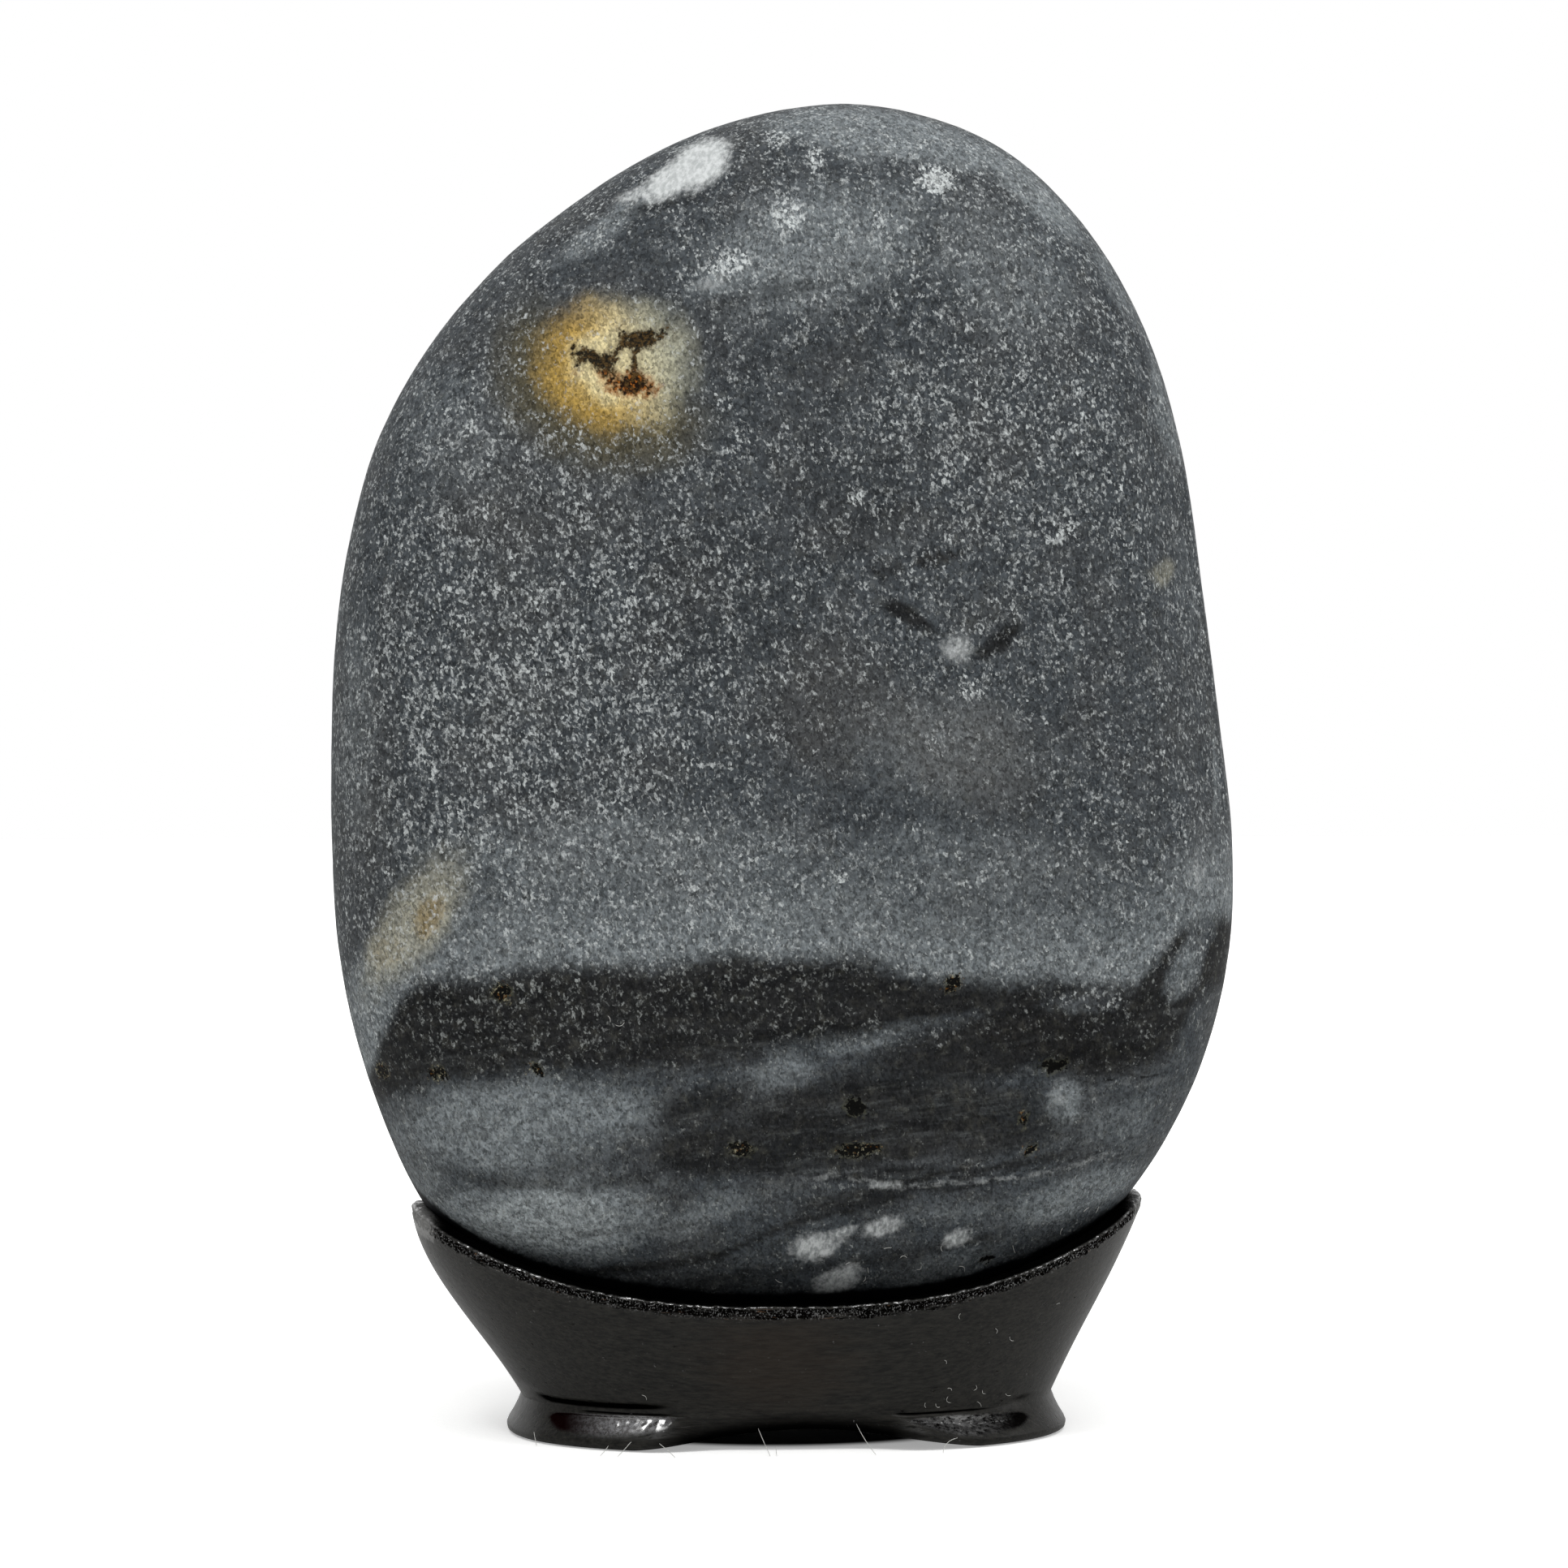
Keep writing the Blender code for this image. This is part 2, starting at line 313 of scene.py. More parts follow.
soft_box("top box", (60.0, -350.0, 600.0), 320.0, 1.3)
soft_box("left glint box", (-210.0, -310.0, 580.0), 150.0, 1.15)
soft_box("right glint box", (220.0, -300.0, 580.0), 130.0, 0.42)
soft_box("right box", (560.0, -120.0, 260.0), 260.0, 0.55)

# %% The floor
FLOOR_HALF = 1500.0
FLOOR_DROP = 0.05
PAPER_PAINTED_GLOW_NEAR = 0.34       # painted glow, seen only by the camera, on the paper beside the stand
PAPER_PAINTED_GLOW_FAR = 0.75
STAND_FOOTPRINT = (33.0, 19.6)
PAPER_SHADE, PAPER_LIGHT = rgb(0.84, 0.84, 0.83), rgb(0.92, 0.92, 0.91)
# Painted shadow: the colour of the paper under the stand.
PAPER_PAINTED_SHADOW = rgb(0.01, 0.01, 0.01)

corners = np.array([(-1, -1, 0), (1, -1, 0), (1, 1, 0), (-1, 1, 0)]) * FLOOR_HALF
corners[:, 2] = -FLOOR_DROP
floor = mesh_from_triangles("floor", corners, np.array([(0, 1, 2), (0, 2, 3)]))
paper, tree, shader = new_material("paper_floor")
grain = noise(millimetres(tree), 0.8, 4.0, 0.7)
from_stand = length(millimetres(tree, stretch=(1 / STAND_FOOTPRINT[0], 1 / STAND_FOOTPRINT[1], 0)))
# The paper under the stand is painted near black as shadow, so the low arch reads black.
outside_painted_shadow = eased(from_stand, 0.60, 0.74)
# A painted glow, seen only by the camera, lightens the paper beyond the stand.
painted_paper_glow = outside_painted_shadow * PAPER_PAINTED_GLOW_NEAR
painted_paper_glow += eased(from_stand, 1.5, 6.0) * (PAPER_PAINTED_GLOW_FAR - PAPER_PAINTED_GLOW_NEAR)
to_eye = Number(put(tree, "ShaderNodeLightPath").outputs["Is Camera Ray"])
feed(shader, {
    "Base Color": mixed(outside_painted_shadow, PAPER_PAINTED_SHADOW, mixed(grain, PAPER_SHADE, PAPER_LIGHT)),
    "Roughness": 0.9, "Specular IOR Level": 0.1, "Normal": bumped(grain, 0.3, 0.0002),
    "Emission Color": WHITE, "Emission Strength": painted_paper_glow * to_eye,
})
floor.data.materials.append(paper)

# %% [markdown]
# ## The stone's form
#
# A river pebble like this is a rounded slab: a smooth outline, nearly flat faces, and a full
# round edge between them. It could be sculpted, but it is simpler and exact to say it as a
# formula. The thickness at any spot depends only on how far that spot is from the outline:
# a quarter of a superellipse at the edge, then a gentle crown. The surface is laid out on
# two square grids, one for each face, each bent into a disc so no triangle is a sliver.

# %% Outline and thickness
STONE_OUTLINE = [
    (6.0, 150.3), (22.0, 146.9), (33.5, 137.8), (41.2, 125.4), (45.4, 111.8),
    (48.0, 96.0), (50.0, 80.0), (51.1, 66.0), (50.5, 53.0), (47.0, 39.8),
    (40.4, 27.8), (31.5, 18.8), (18.0, 12.4), (2.0, 10.3), (-15.0, 12.0),
    (-30.0, 17.2), (-40.2, 25.4), (-46.8, 39.8), (-50.4, 55.0), (-51.2, 74.0),
    (-50.2, 93.5), (-46.6, 109.8), (-39.6, 123.4), (-28.2, 135.8), (-12.0, 146.0),
]
STONE_HEART = 78.0           # height of the point that the outline's reach is measured from
EDGE_HALF_THICKNESS = 18.2
EDGE_WIDTH = 22.0
EDGE_FULLNESS = 2.25
FRONT_CROWN = 2.4
BACK_CROWN = 2.5
CROWN_THINNING = 0.13


def outline_curve(points, steps=12):
    """A closed Catmull-Rom curve: it passes through every point with no corner."""
    p1 = np.array(points)
    p0, p2, p3 = (np.roll(p1, shift, axis=0) for shift in (1, -1, -2))
    t = np.linspace(0.0, 1.0, steps, endpoint=False)[:, None, None]
    curve = 0.5 * (
        2 * p1
        + (p2 - p0) * t
        + (2 * p0 - 5 * p1 + 4 * p2 - p3) * t**2
        + (3 * p1 - p0 - 3 * p2 + p3) * t**3
    )
    return curve.transpose(1, 0, 2).reshape(-1, 2)


AROUND = outline_curve(STONE_OUTLINE) - (0.0, STONE_HEART)
BEARING = np.arctan2(AROUND[:, 1], AROUND[:, 0])
ORDER = np.argsort(BEARING)
REACH = np.hypot(*AROUND.T)


def outline_reach(angles):
    """Distance from the heart to the outline in each direction, 0 along +X and 90 up."""
    return np.interp(angles, BEARING[ORDER], REACH[ORDER], period=2 * np.pi)


STONE_TOP = STONE_HEART + outline_reach(np.pi / 2)


def half_thickness(x, z, crown):
    """Half the slab's thickness at (x, z).

    With w the distance in from the outline as a share of the edge's width and n its fullness,
    the edge is (1 - (1 - w)^n)^(1/n), a quarter superellipse. The crown adds 1 - (r/R)^2.
    """
    out = np.hypot(x, z - STONE_HEART)
    reach = outline_reach(np.arctan2(z - STONE_HEART, x))
    inward = np.clip((reach - out) / EDGE_WIDTH, 0.0, 1.0)
    swell = (1.0 - (1.0 - inward) ** EDGE_FULLNESS) ** (1.0 / EDGE_FULLNESS)
    thinning = 1.0 - CROWN_THINNING * smooth_step(z, STONE_HEART, STONE_TOP)
    return swell * (EDGE_HALF_THICKNESS + crown * (1.0 - (out / reach) ** 2)) * thinning


# %% Two grids bent into discs
FACE_STEPS = 220             # squares along each side of a face's grid
EDGE_SHARE = 0.46            # share of the way from outline to heart that the edge takes
FACET_DIRECTION = (0.80, -0.59, 0.11)    # the flat worn along the right front edge
FACET_DEPTH = 1.1
FACET_WEAR = 0.85


def disc_grid():
    """Square grid to disc: across = a sqrt(1 - b^2 / 2) and up = b sqrt(1 - a^2 / 2)."""
    a, b = np.meshgrid(*[np.linspace(-1.0, 1.0, FACE_STEPS + 1)] * 2, indexing="ij")
    across = (a * np.sqrt(1.0 - b**2 / 2.0)).ravel()
    up = (b * np.sqrt(1.0 - a**2 / 2.0)).ravel()
    rim = (np.maximum(np.abs(a), np.abs(b)) > 1.0 - 0.5 / FACE_STEPS).ravel()
    return across, up, rim


def disc_triangles():
    """Each square cut in two across the disc's radius, but along it in the corner squares.

    A corner square's four points lie on the rim but for one. Cut across, it would leave a
    triangle of three rim points on both faces, back to back with nothing between them.
    """
    index = np.arange((FACE_STEPS + 1) ** 2).reshape(FACE_STEPS + 1, -1)
    p, q, r, s = index[:-1, :-1], index[1:, :-1], index[1:, 1:], index[:-1, 1:]
    half = FACE_STEPS // 2
    side = np.arange(FACE_STEPS) < half
    same = side[:, None] == side[None, :]
    same[::FACE_STEPS - 1, ::FACE_STEPS - 1] ^= True
    one = np.where(same[..., None], np.stack([p, q, s], -1), np.stack([p, q, r], -1))
    two = np.where(same[..., None], np.stack([q, r, s], -1), np.stack([p, r, s], -1))
    return np.concatenate([one.reshape(-1, 3), two.reshape(-1, 3)])


def pebble_face(across, up, crown, facing):
    """Carries a disc onto one face of the slab: the rim of the disc becomes the outline."""
    latitude = 1.0 - np.clip(np.hypot(across, up), 0.0, 1.0)
    angles = np.arctan2(up, across)
    reach = outline_reach(angles)
    turn = np.clip(latitude / EDGE_SHARE, 0.0, 1.0) * np.pi / 2
    power = 2.0 / EDGE_FULLNESS
    inward = EDGE_WIDTH * (1.0 - np.cos(turn) ** power)
    out = (reach - inward) * np.clip((1.0 - latitude) / (1.0 - EDGE_SHARE), 0.0, 1.0)
    x = out * np.cos(angles)
    z = STONE_HEART + out * np.sin(angles)
    return np.column_stack([x, facing * half_thickness(x, z, crown), z])


def pebble():
    """Both faces, sharing the points of the outline."""
    across, up, rim = disc_grid()
    front = pebble_face(across, up, FRONT_CROWN, -1.0)
    back = pebble_face(across, up, BACK_CROWN, 1.0)
    count = len(front)
    front_triangles = disc_triangles()
    shared = np.where(rim, np.arange(count), -1)
    shared[~rim] = count + np.arange((~rim).sum())
    back_triangles = shared[front_triangles][:, ::-1]
    points = np.concatenate([front, back[~rim]])
    points[np.concatenate([rim, np.zeros((~rim).sum(), bool)]), 1] = 0.0
    outward = np.array(FACET_DIRECTION) / np.linalg.norm(FACET_DIRECTION)
    height = points @ outward
    proud = np.maximum(height - (height.max() - FACET_DEPTH), 0.0)
    points -= FACET_WEAR * proud[:, None] * outward
    return points, np.concatenate([front_triangles, back_triangles])


smooth_points, stone_triangles = pebble()
print("pebble box", smooth_points.min(0).round(1), smooth_points.max(0).round(1))

# %% [markdown]
# ## The stone's marks
#
# What makes this pebble is what is in it: an ochre spot like a moon, a dark bed that makes a
# horizon, pale clouds below it, crystals of calcite, and small rusty pits. None of it is
# paint, so it isn't an image here either. Each mark is a simple shape, an oval or a ribbon,
# with a middle, a size and a tilt. It is written onto the mesh's points as a smooth field.
# The material then breaks the field's edge with fine noise, so it stays crisp up close.

# %% Ovals and ribbons


def oval_field(x, z, ovals):
    """The strongest of some ovals at each point.

    One oval is 1 minus the distance from its middle, counted in its own half length along its
    tilt and half width across it. It is eased, and multiplied by its strength.
    """
    total = np.zeros(len(x))
    for middle_x, middle_z, half_length, half_width, tilt, strength in ovals:
        turn = np.radians(tilt)
        along = (x - middle_x) * np.cos(turn) + (z - middle_z) * np.sin(turn)
        over = (z - middle_z) * np.cos(turn) - (x - middle_x) * np.sin(turn)
        cone = 1.0 - np.hypot(along / half_length, over / half_width)
        total = np.maximum(total, strength * smooth_step(cone, -0.35, 0.6))
    return total


def above_line(x, z, line):
    """How far z is above a line given by a few points from left to right."""
    return z - np.interp(x, *np.array(line).T)


RIBBON_FADE = 3.0            # how far a ribbon fades to each side of its ends


def ribbon_field(x, z, ribbons):
    """Soft ribbons along gently sloping lines, each with a half width and a strength."""
    total = np.zeros(len(x))
    for line, half_width, strength in ribbons:
        start, end = line[0][0], line[-1][0]
        ends = smooth_step(x, start - RIBBON_FADE, start + RIBBON_FADE)
        ends *= smooth_step(-x, -end - RIBBON_FADE, RIBBON_FADE - end)
        near = smooth_step(1.0 - np.abs(above_line(x, z, line)) / half_width, 0.0, 0.8)
        total = np.maximum(total, strength * near * ends)
    return total


# %% Where the marks are
# Each oval is x, z, half length, half width, tilt in degrees, and strength.
WHITE_PATCHES = [
    (-9.6, 142.9, 4.3, 2.9, 52, 1.3), (-12.4, 141.2, 5.0, 2.1, 32, 1.25),
    (-16.2, 139.6, 3.4, 1.1, 16, 0.75),
    (18.0, 89.1, 2.2, 2.0, 0, 0.66),
    (2.9, 22.9, 2.9, 1.9, 8, 0.95), (5.8, 24.2, 2.6, 1.2, 22, 0.66),
    (10.4, 25.1, 2.8, 1.4, 16, 0.70), (18.5, 23.6, 1.9, 1.3, 24, 0.80),
    (5.4, 18.9, 3.4, 1.9, 25, 0.88), (-6.9, 17.3, 1.2, 0.6, 0, 0.40),
    (10.6, 29.9, 2.4, 0.7, -4, 0.55), (29.3, 39.6, 1.5, 2.0, 0, 0.4),
    (16.2, 140.9, 1.7, 1.3, 0, 0.55), (-8.6, 129.2, 2.2, 1.0, 10, 0.5),
    (41.5, 56.0, 1.6, 1.2, 40, 0.35), (45.5, 64.0, 1.4, 3.0, 0, 0.4),
]
# Veils: mostly the stone's own pale clouds, but the thin ones along the outline and the broad ones over
# the top are painted sheen, where the rounded edge catches the light.
VEILS_AND_EDGE_SHEEN = [
    (-7.0, 129.6, 4.6, 1.6, 10, 0.8), (0.5, 136.0, 5.5, 3.0, 50, 0.6),
    (3.0, 133.0, 14.0, 8.0, 20, 0.70), (24.0, 131.0, 12.0, 8.0, -40, 0.45),
    (-37.0, 113.0, 8.0, 10.0, 30, 0.34), (17.0, 78.0, 13.0, 8.0, -10, 0.40),
    (-18.0, 66.0, 26.0, 6.5, 0, 0.52), (18.0, 65.0, 22.0, 5.5, 0, 0.44),
    (12.0, 146.5, 18.0, 4.0, -10, 0.85), (-20.0, 136.0, 9.0, 1.6, 38, 0.6),
    (27.0, 141.0, 11.0, 2.6, -43, 0.85), (38.5, 129.0, 9.0, 2.0, -62, 0.6),
    (42.7, 116.0, 8.0, 2.0, -78, 0.6), (48.9, 72.0, 12.0, 0.8, -88, 0.45),
    (-47.6, 80.0, 16.0, 2.4, 88, 0.42),
    (45.5, 96.0, 9.0, 2.5, -85, 0.3), (11.2, 100.4, 2.2, 0.9, 28, 0.6),
    (-31.2, 36.2, 13.0, 5.8, 3, 1.0), (-21.0, 37.8, 7.0, 3.6, 5, 0.8),
    (-27.5, 25.6, 13.0, 5.2, 8, 1.4), (-33.5, 24.0, 7.0, 5.0, -25, 1.1),
    (-9.5, 26.6, 8.0, 1.9, 12, 0.55), (-2.6, 29.2, 6.0, 1.2, 14, 0.3),
    (-20.5, 18.5, 7.0, 2.0, -12, 0.45), (7.9, 45.9, 7.0, 2.2, 14, 0.55),
    (-1.4, 42.0, 4.0, 2.4, 5, 0.6), (-6.5, 46.5, 3.6, 1.6, 10, 0.4),
    (31.8, 28.0, 9.5, 3.0, 12, 0.74), (18.0, 26.6, 8.0, 1.6, 8, 0.4),
    (37.0, 36.4, 7.0, 4.0, 5, 0.42), (29.8, 38.6, 2.6, 3.0, 0, 0.85),
    (43.6, 52.4, 5.6, 2.4, 58, 0.58), (28.5, 48.0, 4.6, 1.1, 8, 0.45),
    (21.8, 49.6, 2.5, 1.0, 0, 0.4), (18.0, 20.0, 8.0, 2.6, 16, 0.45),
    (-41.5, 31.0, 3.5, 7.0, 25, 0.6), (-47.0, 49.0, 3.0, 7.0, 5, 0.9),
    (-8.0, 31.5, 2.0, 0.8, 5, 0.35), (-14.8, 30.9, 1.0, 0.8, 0, 0.7),
]
MURK = [
    (7.0, 37.0, 17.0, 5.6, 6, 1.0), (20.0, 44.5, 15.0, 3.4, 8, 0.9),
    (-9.0, 34.0, 8.0, 3.4, 8, 0.95), (9.0, 28.6, 9.0, 1.8, 8, 0.8),
    (15.0, 37.5, 14.0, 4.5, 6, 0.9),
    (-10.0, 38.6, 7.0, 3.0, 18, 0.75), (-5.0, 32.6, 8.0, 2.4, 8, 0.85),
    (23.0, 35.5, 9.0, 3.0, 8, 0.75), (34.0, 43.6, 8.0, 2.2, 6, 0.8),
    (12.9, 92.2, 3.8, 1.1, -32, 1.0), (22.4, 90.0, 4.0, 1.5, 33, 0.85),
    (16.6, 98.9, 3.6, 0.9, 10, 0.85), (10.6, 97.6, 3.0, 0.9, 8, 0.65),
    (-8.0, 94.0, 14.0, 12.0, 0, 0.36), (6.0, 106.0, 12.0, 9.0, 0, 0.36),
    (10.0, 33.5, 9.0, 1.6, 4, 1.0),
    (-1.0, 128.2, 11.0, 1.6, 8, 0.50), (-13.5, 138.0, 6.0, 0.8, 8, 0.55),
    (41.6, 93.6, 1.4, 0.8, 0, 0.6), (-6.9, 18.8, 7.0, 1.6, 0, 0.5),
    (-24.0, 121.5, 2.0, 6.0, 20, 0.3), (0.0, 120.0, 14.0, 3.0, 6, 0.3),
]
DARK_STREAKS = [
    ([(-25.0, 20.6), (-8.0, 22.2), (0.7, 26.2), (14.3, 29.2), (24.0, 30.4)], 0.9, 0.8),
    ([(-12.0, 19.6), (0.0, 20.6), (8.0, 21.4), (24.0, 24.4)], 1.3, 0.55),
    ([(2.0, 31.0), (13.0, 31.2), (22.0, 31.6), (32.0, 33.6)], 0.9, 0.8),
    ([(-36.0, 30.8), (-24.0, 30.0), (-12.0, 31.4), (0.0, 32.4)], 1.4, 0.5),
    ([(-6.0, 44.4), (2.0, 43.9), (10.0, 43.4)], 0.5, 0.5),
    ([(-44.0, 33.6), (-36.0, 31.6), (-30.0, 31.4)], 1.2, 0.4),
]
LIGHT_STREAKS = [
    ([(-2.0, 30.4), (4.4, 31.5), (9.0, 31.6)], 0.45, 0.6),
    ([(4.0, 34.9), (9.0, 33.0), (12.0, 32.2)], 0.7, 0.3),
    ([(-5.0, 36.0), (0.0, 37.4), (6.0, 40.2)], 0.5, 0.5),
    ([(10.0, 39.8), (16.0, 40.6), (24.0, 41.2)], 0.5, 0.45),
    ([(14.0, 36.6), (24.0, 38.2)], 0.5, 0.3),
    ([(-14.0, 25.2), (-6.0, 27.0), (0.0, 28.4)], 0.7, 0.6),
    ([(32.0, 52.9), (38.0, 49.0), (41.0, 52.0)], 0.6, 0.3),
]
TAN_STAINS = [
    (-41.8, 58.6, 10.0, 3.4, 58, 0.78), (-39.9, 59.6, 4.6, 2.4, 70, 1.15),
    (-44.4, 55.4, 3.6, 2.6, 44, 0.95), (41.8, 98.2, 1.9, 1.5, 0, 0.60),
]
BROWN_TINTS = [
    (18.0, 78.0, 11.0, 6.0, -20, 0.7), (4.0, 82.0, 9.0, 7.0, 10, 0.5),
    (-26.0, 104.0, 12.0, 5.0, 0, 0.35), (-46.0, 76.0, 3.0, 12.0, 0, 0.35),
    (12.0, 33.5, 12.0, 3.0, 5, 0.4),
]
FLECK_CLUSTERS = [
    (-28.0, 48.0, 16.0, 6.0, 0, 0.55), (-4.0, 49.5, 14.0, 5.0, 0, 0.35),
    (-15.0, 62.0, 22.0, 6.0, 0, 0.25),
    (-28.0, 86.0, 24.0, 22.0, 40, 0.55), (24.0, 112.0, 17.0, 13.0, 0, 0.35),
    (2.0, 50.5, 9.0, 3.0, 0, 0.35), (40.0, 47.0, 4.0, 2.0, 20, 0.4),
    (16.2, 140.9, 2.4, 1.8, 0, 2.4), (2.9, 143.4, 1.0, 2.2, 0, 1.9),
    (-1.1, 145.7, 1.4, 1.1, 0, 1.6), (-0.3, 136.6, 2.2, 2.0, 0, 1.8),
    (-6.6, 131.2, 2.8, 1.6, 15, 1.9), (10.4, 135.9, 1.6, 1.4, 0, 1.1),
    (7.0, 105.7, 1.3, 0.9, 20, 2.0), (29.5, 101.5, 1.6, 2.2, -40, 1.2),
    (20.0, 84.4, 1.4, 1.6, 40, 1.3), (16.2, 78.5, 2.0, 1.6, 0, 1.0),
    (5.0, 64.0, 1.4, 1.0, 0, 1.8), (8.9, 48.0, 1.2, 0.8, 0, 1.8),
    (36.5, 105.0, 3.0, 8.0, 20, 0.4), (-15.0, 60.0, 22.0, 5.0, 0, 0.3),
    (-36.0, 112.0, 6.0, 5.0, 0, 0.45),
]
CALM_PLACES = [
    (14.0, 50.0, 12.0, 3.0, 0, 0.7), (20.0, 40.0, 20.0, 8.0, 6, 0.35),
    (14.0, 75.0, 16.0, 9.0, -10, 0.6), (-20.0, 130.0, 10.0, 4.0, 30, 0.45),
    (4.0, 120.0, 12.0, 4.0, 8, 0.3), (20.0, 60.0, 24.0, 4.0, 0, 0.3),
]
# Each pit is x, z, half length, half width, tilt, depth in mm, and how rusty it is.
PITS = [
    (-31.9, 51.4, 1.3, 0.9, 0, 0.45, 0.9), (-38.9, 42.1, 1.2, 0.7, 0, 0.25, 0.9),
    (-45.2, 41.8, 0.9, 0.9, 0, 0.2, 0.9), (-28.0, 42.9, 1.2, 0.5, 12, 0.2, 1.0),
    (17.8, 52.2, 1.2, 0.8, 35, 0.2, 1.0), (29.3, 42.9, 1.9, 0.65, 4, 0.7, 0.15),
    (7.0, 38.5, 1.3, 1.0, -20, 0.65, 0.05), (7.4, 33.8, 2.9, 0.8, 4, 0.5, 0.62),
    (26.6, 33.5, 1.0, 0.6, 0, 0.2, 1.0), (25.8, 37.0, 0.6, 0.9, 10, 0.2, 0.9),
    (-5.6, 34.0, 1.5, 0.75, 0, 0.3, 0.6), (22.1, 20.7, 0.8, 0.5, 0, 0.35, 0.2),
]
# The horizon: the dark bed's top edge and lower edge, from left to right.
BED_TOP = [
    (-60.0, 36.0), (-48.5, 40.0), (-46.8, 43.4), (-45.3, 46.5), (-43.4, 49.9), (-41.1, 52.3),
    (-37.1, 53.6), (-24.6, 53.9), (-15.7, 54.3), (-6.0, 55.4), (2.1, 55.5), (9.3, 54.2),
    (15.6, 52.7), (24.6, 52.0), (33.6, 51.8), (38.3, 52.2), (41.2, 55.0), (43.1, 57.8),
    (46.2, 59.2), (49.7, 60.0), (60.0, 61.0),
]
BED_FLOOR = [
    (-60.0, 34.0), (-48.0, 38.0), (-42.6, 41.0), (-36.2, 42.0), (-29.1, 42.4),
    (-19.3, 42.6), (-10.4, 43.0), (-4.1, 43.8), (2.1, 45.0), (11.1, 46.8), (20.1, 46.0),
    (30.8, 42.0), (34.8, 42.2), (36.7, 43.2), (41.1, 43.8), (43.5, 45.4), (46.0, 51.0),
    (60.0, 56.0),
]
# Windows where the bed thins and the paler stone shows through it.
BED_WINDOWS = [
    (44.2, 53.0, 5.6, 2.1, 56, 0.85), (31.5, 48.8, 6.0, 1.7, 6, 0.40),
    (18.0, 48.4, 6.0, 0.9, 6, 0.3),
]
VEIN = [
    (-4.0, 29.6), (4.4, 31.0), (8.2, 30.5), (12.0, 29.5), (16.5, 29.9), (21.0, 30.1),
    (26.6, 30.5), (30.0, 31.1), (36.4, 32.7),
]
# The edge of the shadow where the stone goes down into the stand.
SEAT_EDGE = [
    (-45.0, 31.0), (-37.3, 25.4), (-33.6, 23.2), (-29.1, 21.5), (-22.8, 19.7), (-15.6, 18.6),
    (-8.4, 17.7), (-1.2, 17.5), (9.7, 17.9), (15.2, 18.4), (20.7, 19.4), (26.3, 21.0),
    (32.9, 23.7), (38.0, 26.6), (46.0, 31.0),
]
CRACK = [(30.7, 41.5), (34.0, 40.8), (37.0, 41.7), (39.9, 41.2), (43.5, 41.8)]

# %% The moon and the moss in it
MOON = (-19.9, 119.7)
# Strokes of the black moss: start x, z, end x, z, and half width.
MOSS = [
    (-18.7, 124.3, -18.2, 122.6, 0.20), (-18.3, 122.6, -17.0, 123.3, 0.52),
    (-17.2, 123.1, -15.3, 123.4, 0.62), (-16.8, 122.6, -15.4, 122.6, 0.45),
    (-15.2, 123.2, -14.5, 122.8, 0.24), (-14.5, 122.9, -13.7, 124.4, 0.16),
    (-14.5, 122.9, -12.6, 123.5, 0.06), (-18.4, 122.7, -19.2, 121.5, 0.26),
    (-17.3, 122.4, -17.2, 119.4, 0.26), (-19.6, 120.9, -19.8, 121.9, 0.20),
    (-23.9, 122.1, -23.5, 121.0, 0.24), (-23.4, 121.1, -22.5, 121.6, 0.34),
    (-22.6, 121.5, -20.0, 120.2, 0.58), (-21.6, 120.6, -20.6, 119.2, 0.34),
    (-20.0, 120.4, -19.4, 119.5, 0.30), (-23.2, 120.9, -23.4, 119.9, 0.20),
    (-18.0, 119.0, -17.6, 118.2, 0.34), (-20.0, 117.9, -18.4, 118.2, 0.30),
    (-18.6, 118.1, -16.4, 118.3, 0.52), (-19.2, 117.5, -17.0, 117.3, 0.34),
    (-16.8, 118.9, -15.6, 118.0, 0.28), (-15.6, 118.0, -14.8, 117.8, 0.16),
    (-16.6, 117.5, -15.6, 117.0, 0.20), (-17.0, 119.6, -16.4, 118.6, 0.20),
]


FAR_OUTSIDE = 9.0            # distance given to a point that no stroke is near


def stroke_field(x, z, strokes):
    """How far inside the nearest stroke each point is, in mm; outside it is negative."""
    best = np.full(len(x), -FAR_OUTSIDE)
    for start_x, start_z, end_x, end_z, half_width in strokes:
        run = np.array([end_x - start_x, end_z - start_z])
        share = ((x - start_x) * run[0] + (z - start_z) * run[1]) / (run @ run)
        share = np.clip(share, 0.0, 1.0)
        far = np.hypot(x - start_x - share * run[0], z - start_z - share * run[1])
        best = np.maximum(best, half_width - far)
    return best


# %% [markdown]
# ## Wearing the surface and painting the fields
#
# The beds run through the whole slab and dip towards the back, so they are read at a height
# that falls with depth. The moon, the white patches and the pits belong to the front face
# alone. The back gets a few quiet clouds and two white dabs of its own. The places are
# shifted a little by noise before they are read, so no oval looks drawn with a compass.

# %% Fields on the stone
BED_DIP = 0.12               # fall per mm from the front face to the back
FRONT_FACE = -20.0
BACK_VEILS = [
    (-14.0, 108.0, 26.0, 9.0, 24, 0.40), (22.0, 82.0, 20.0, 9.0, -14, 0.34),
    (4.0, 138.0, 24.0, 7.0, 6, 0.5), (-30.0, 74.0, 14.0, 12.0, 30, 0.30),
    (12.0, 32.0, 18.0, 4.0, 6, 0.8), (-24.0, 24.0, 9.0, 3.0, -6, 0.7),
]
BACK_WHITES = [(14.0, 108.0, 3.2, 1.3, 20, 0.8), (-30.0, 90.0, 1.8, 1.4, 0, 0.6)]
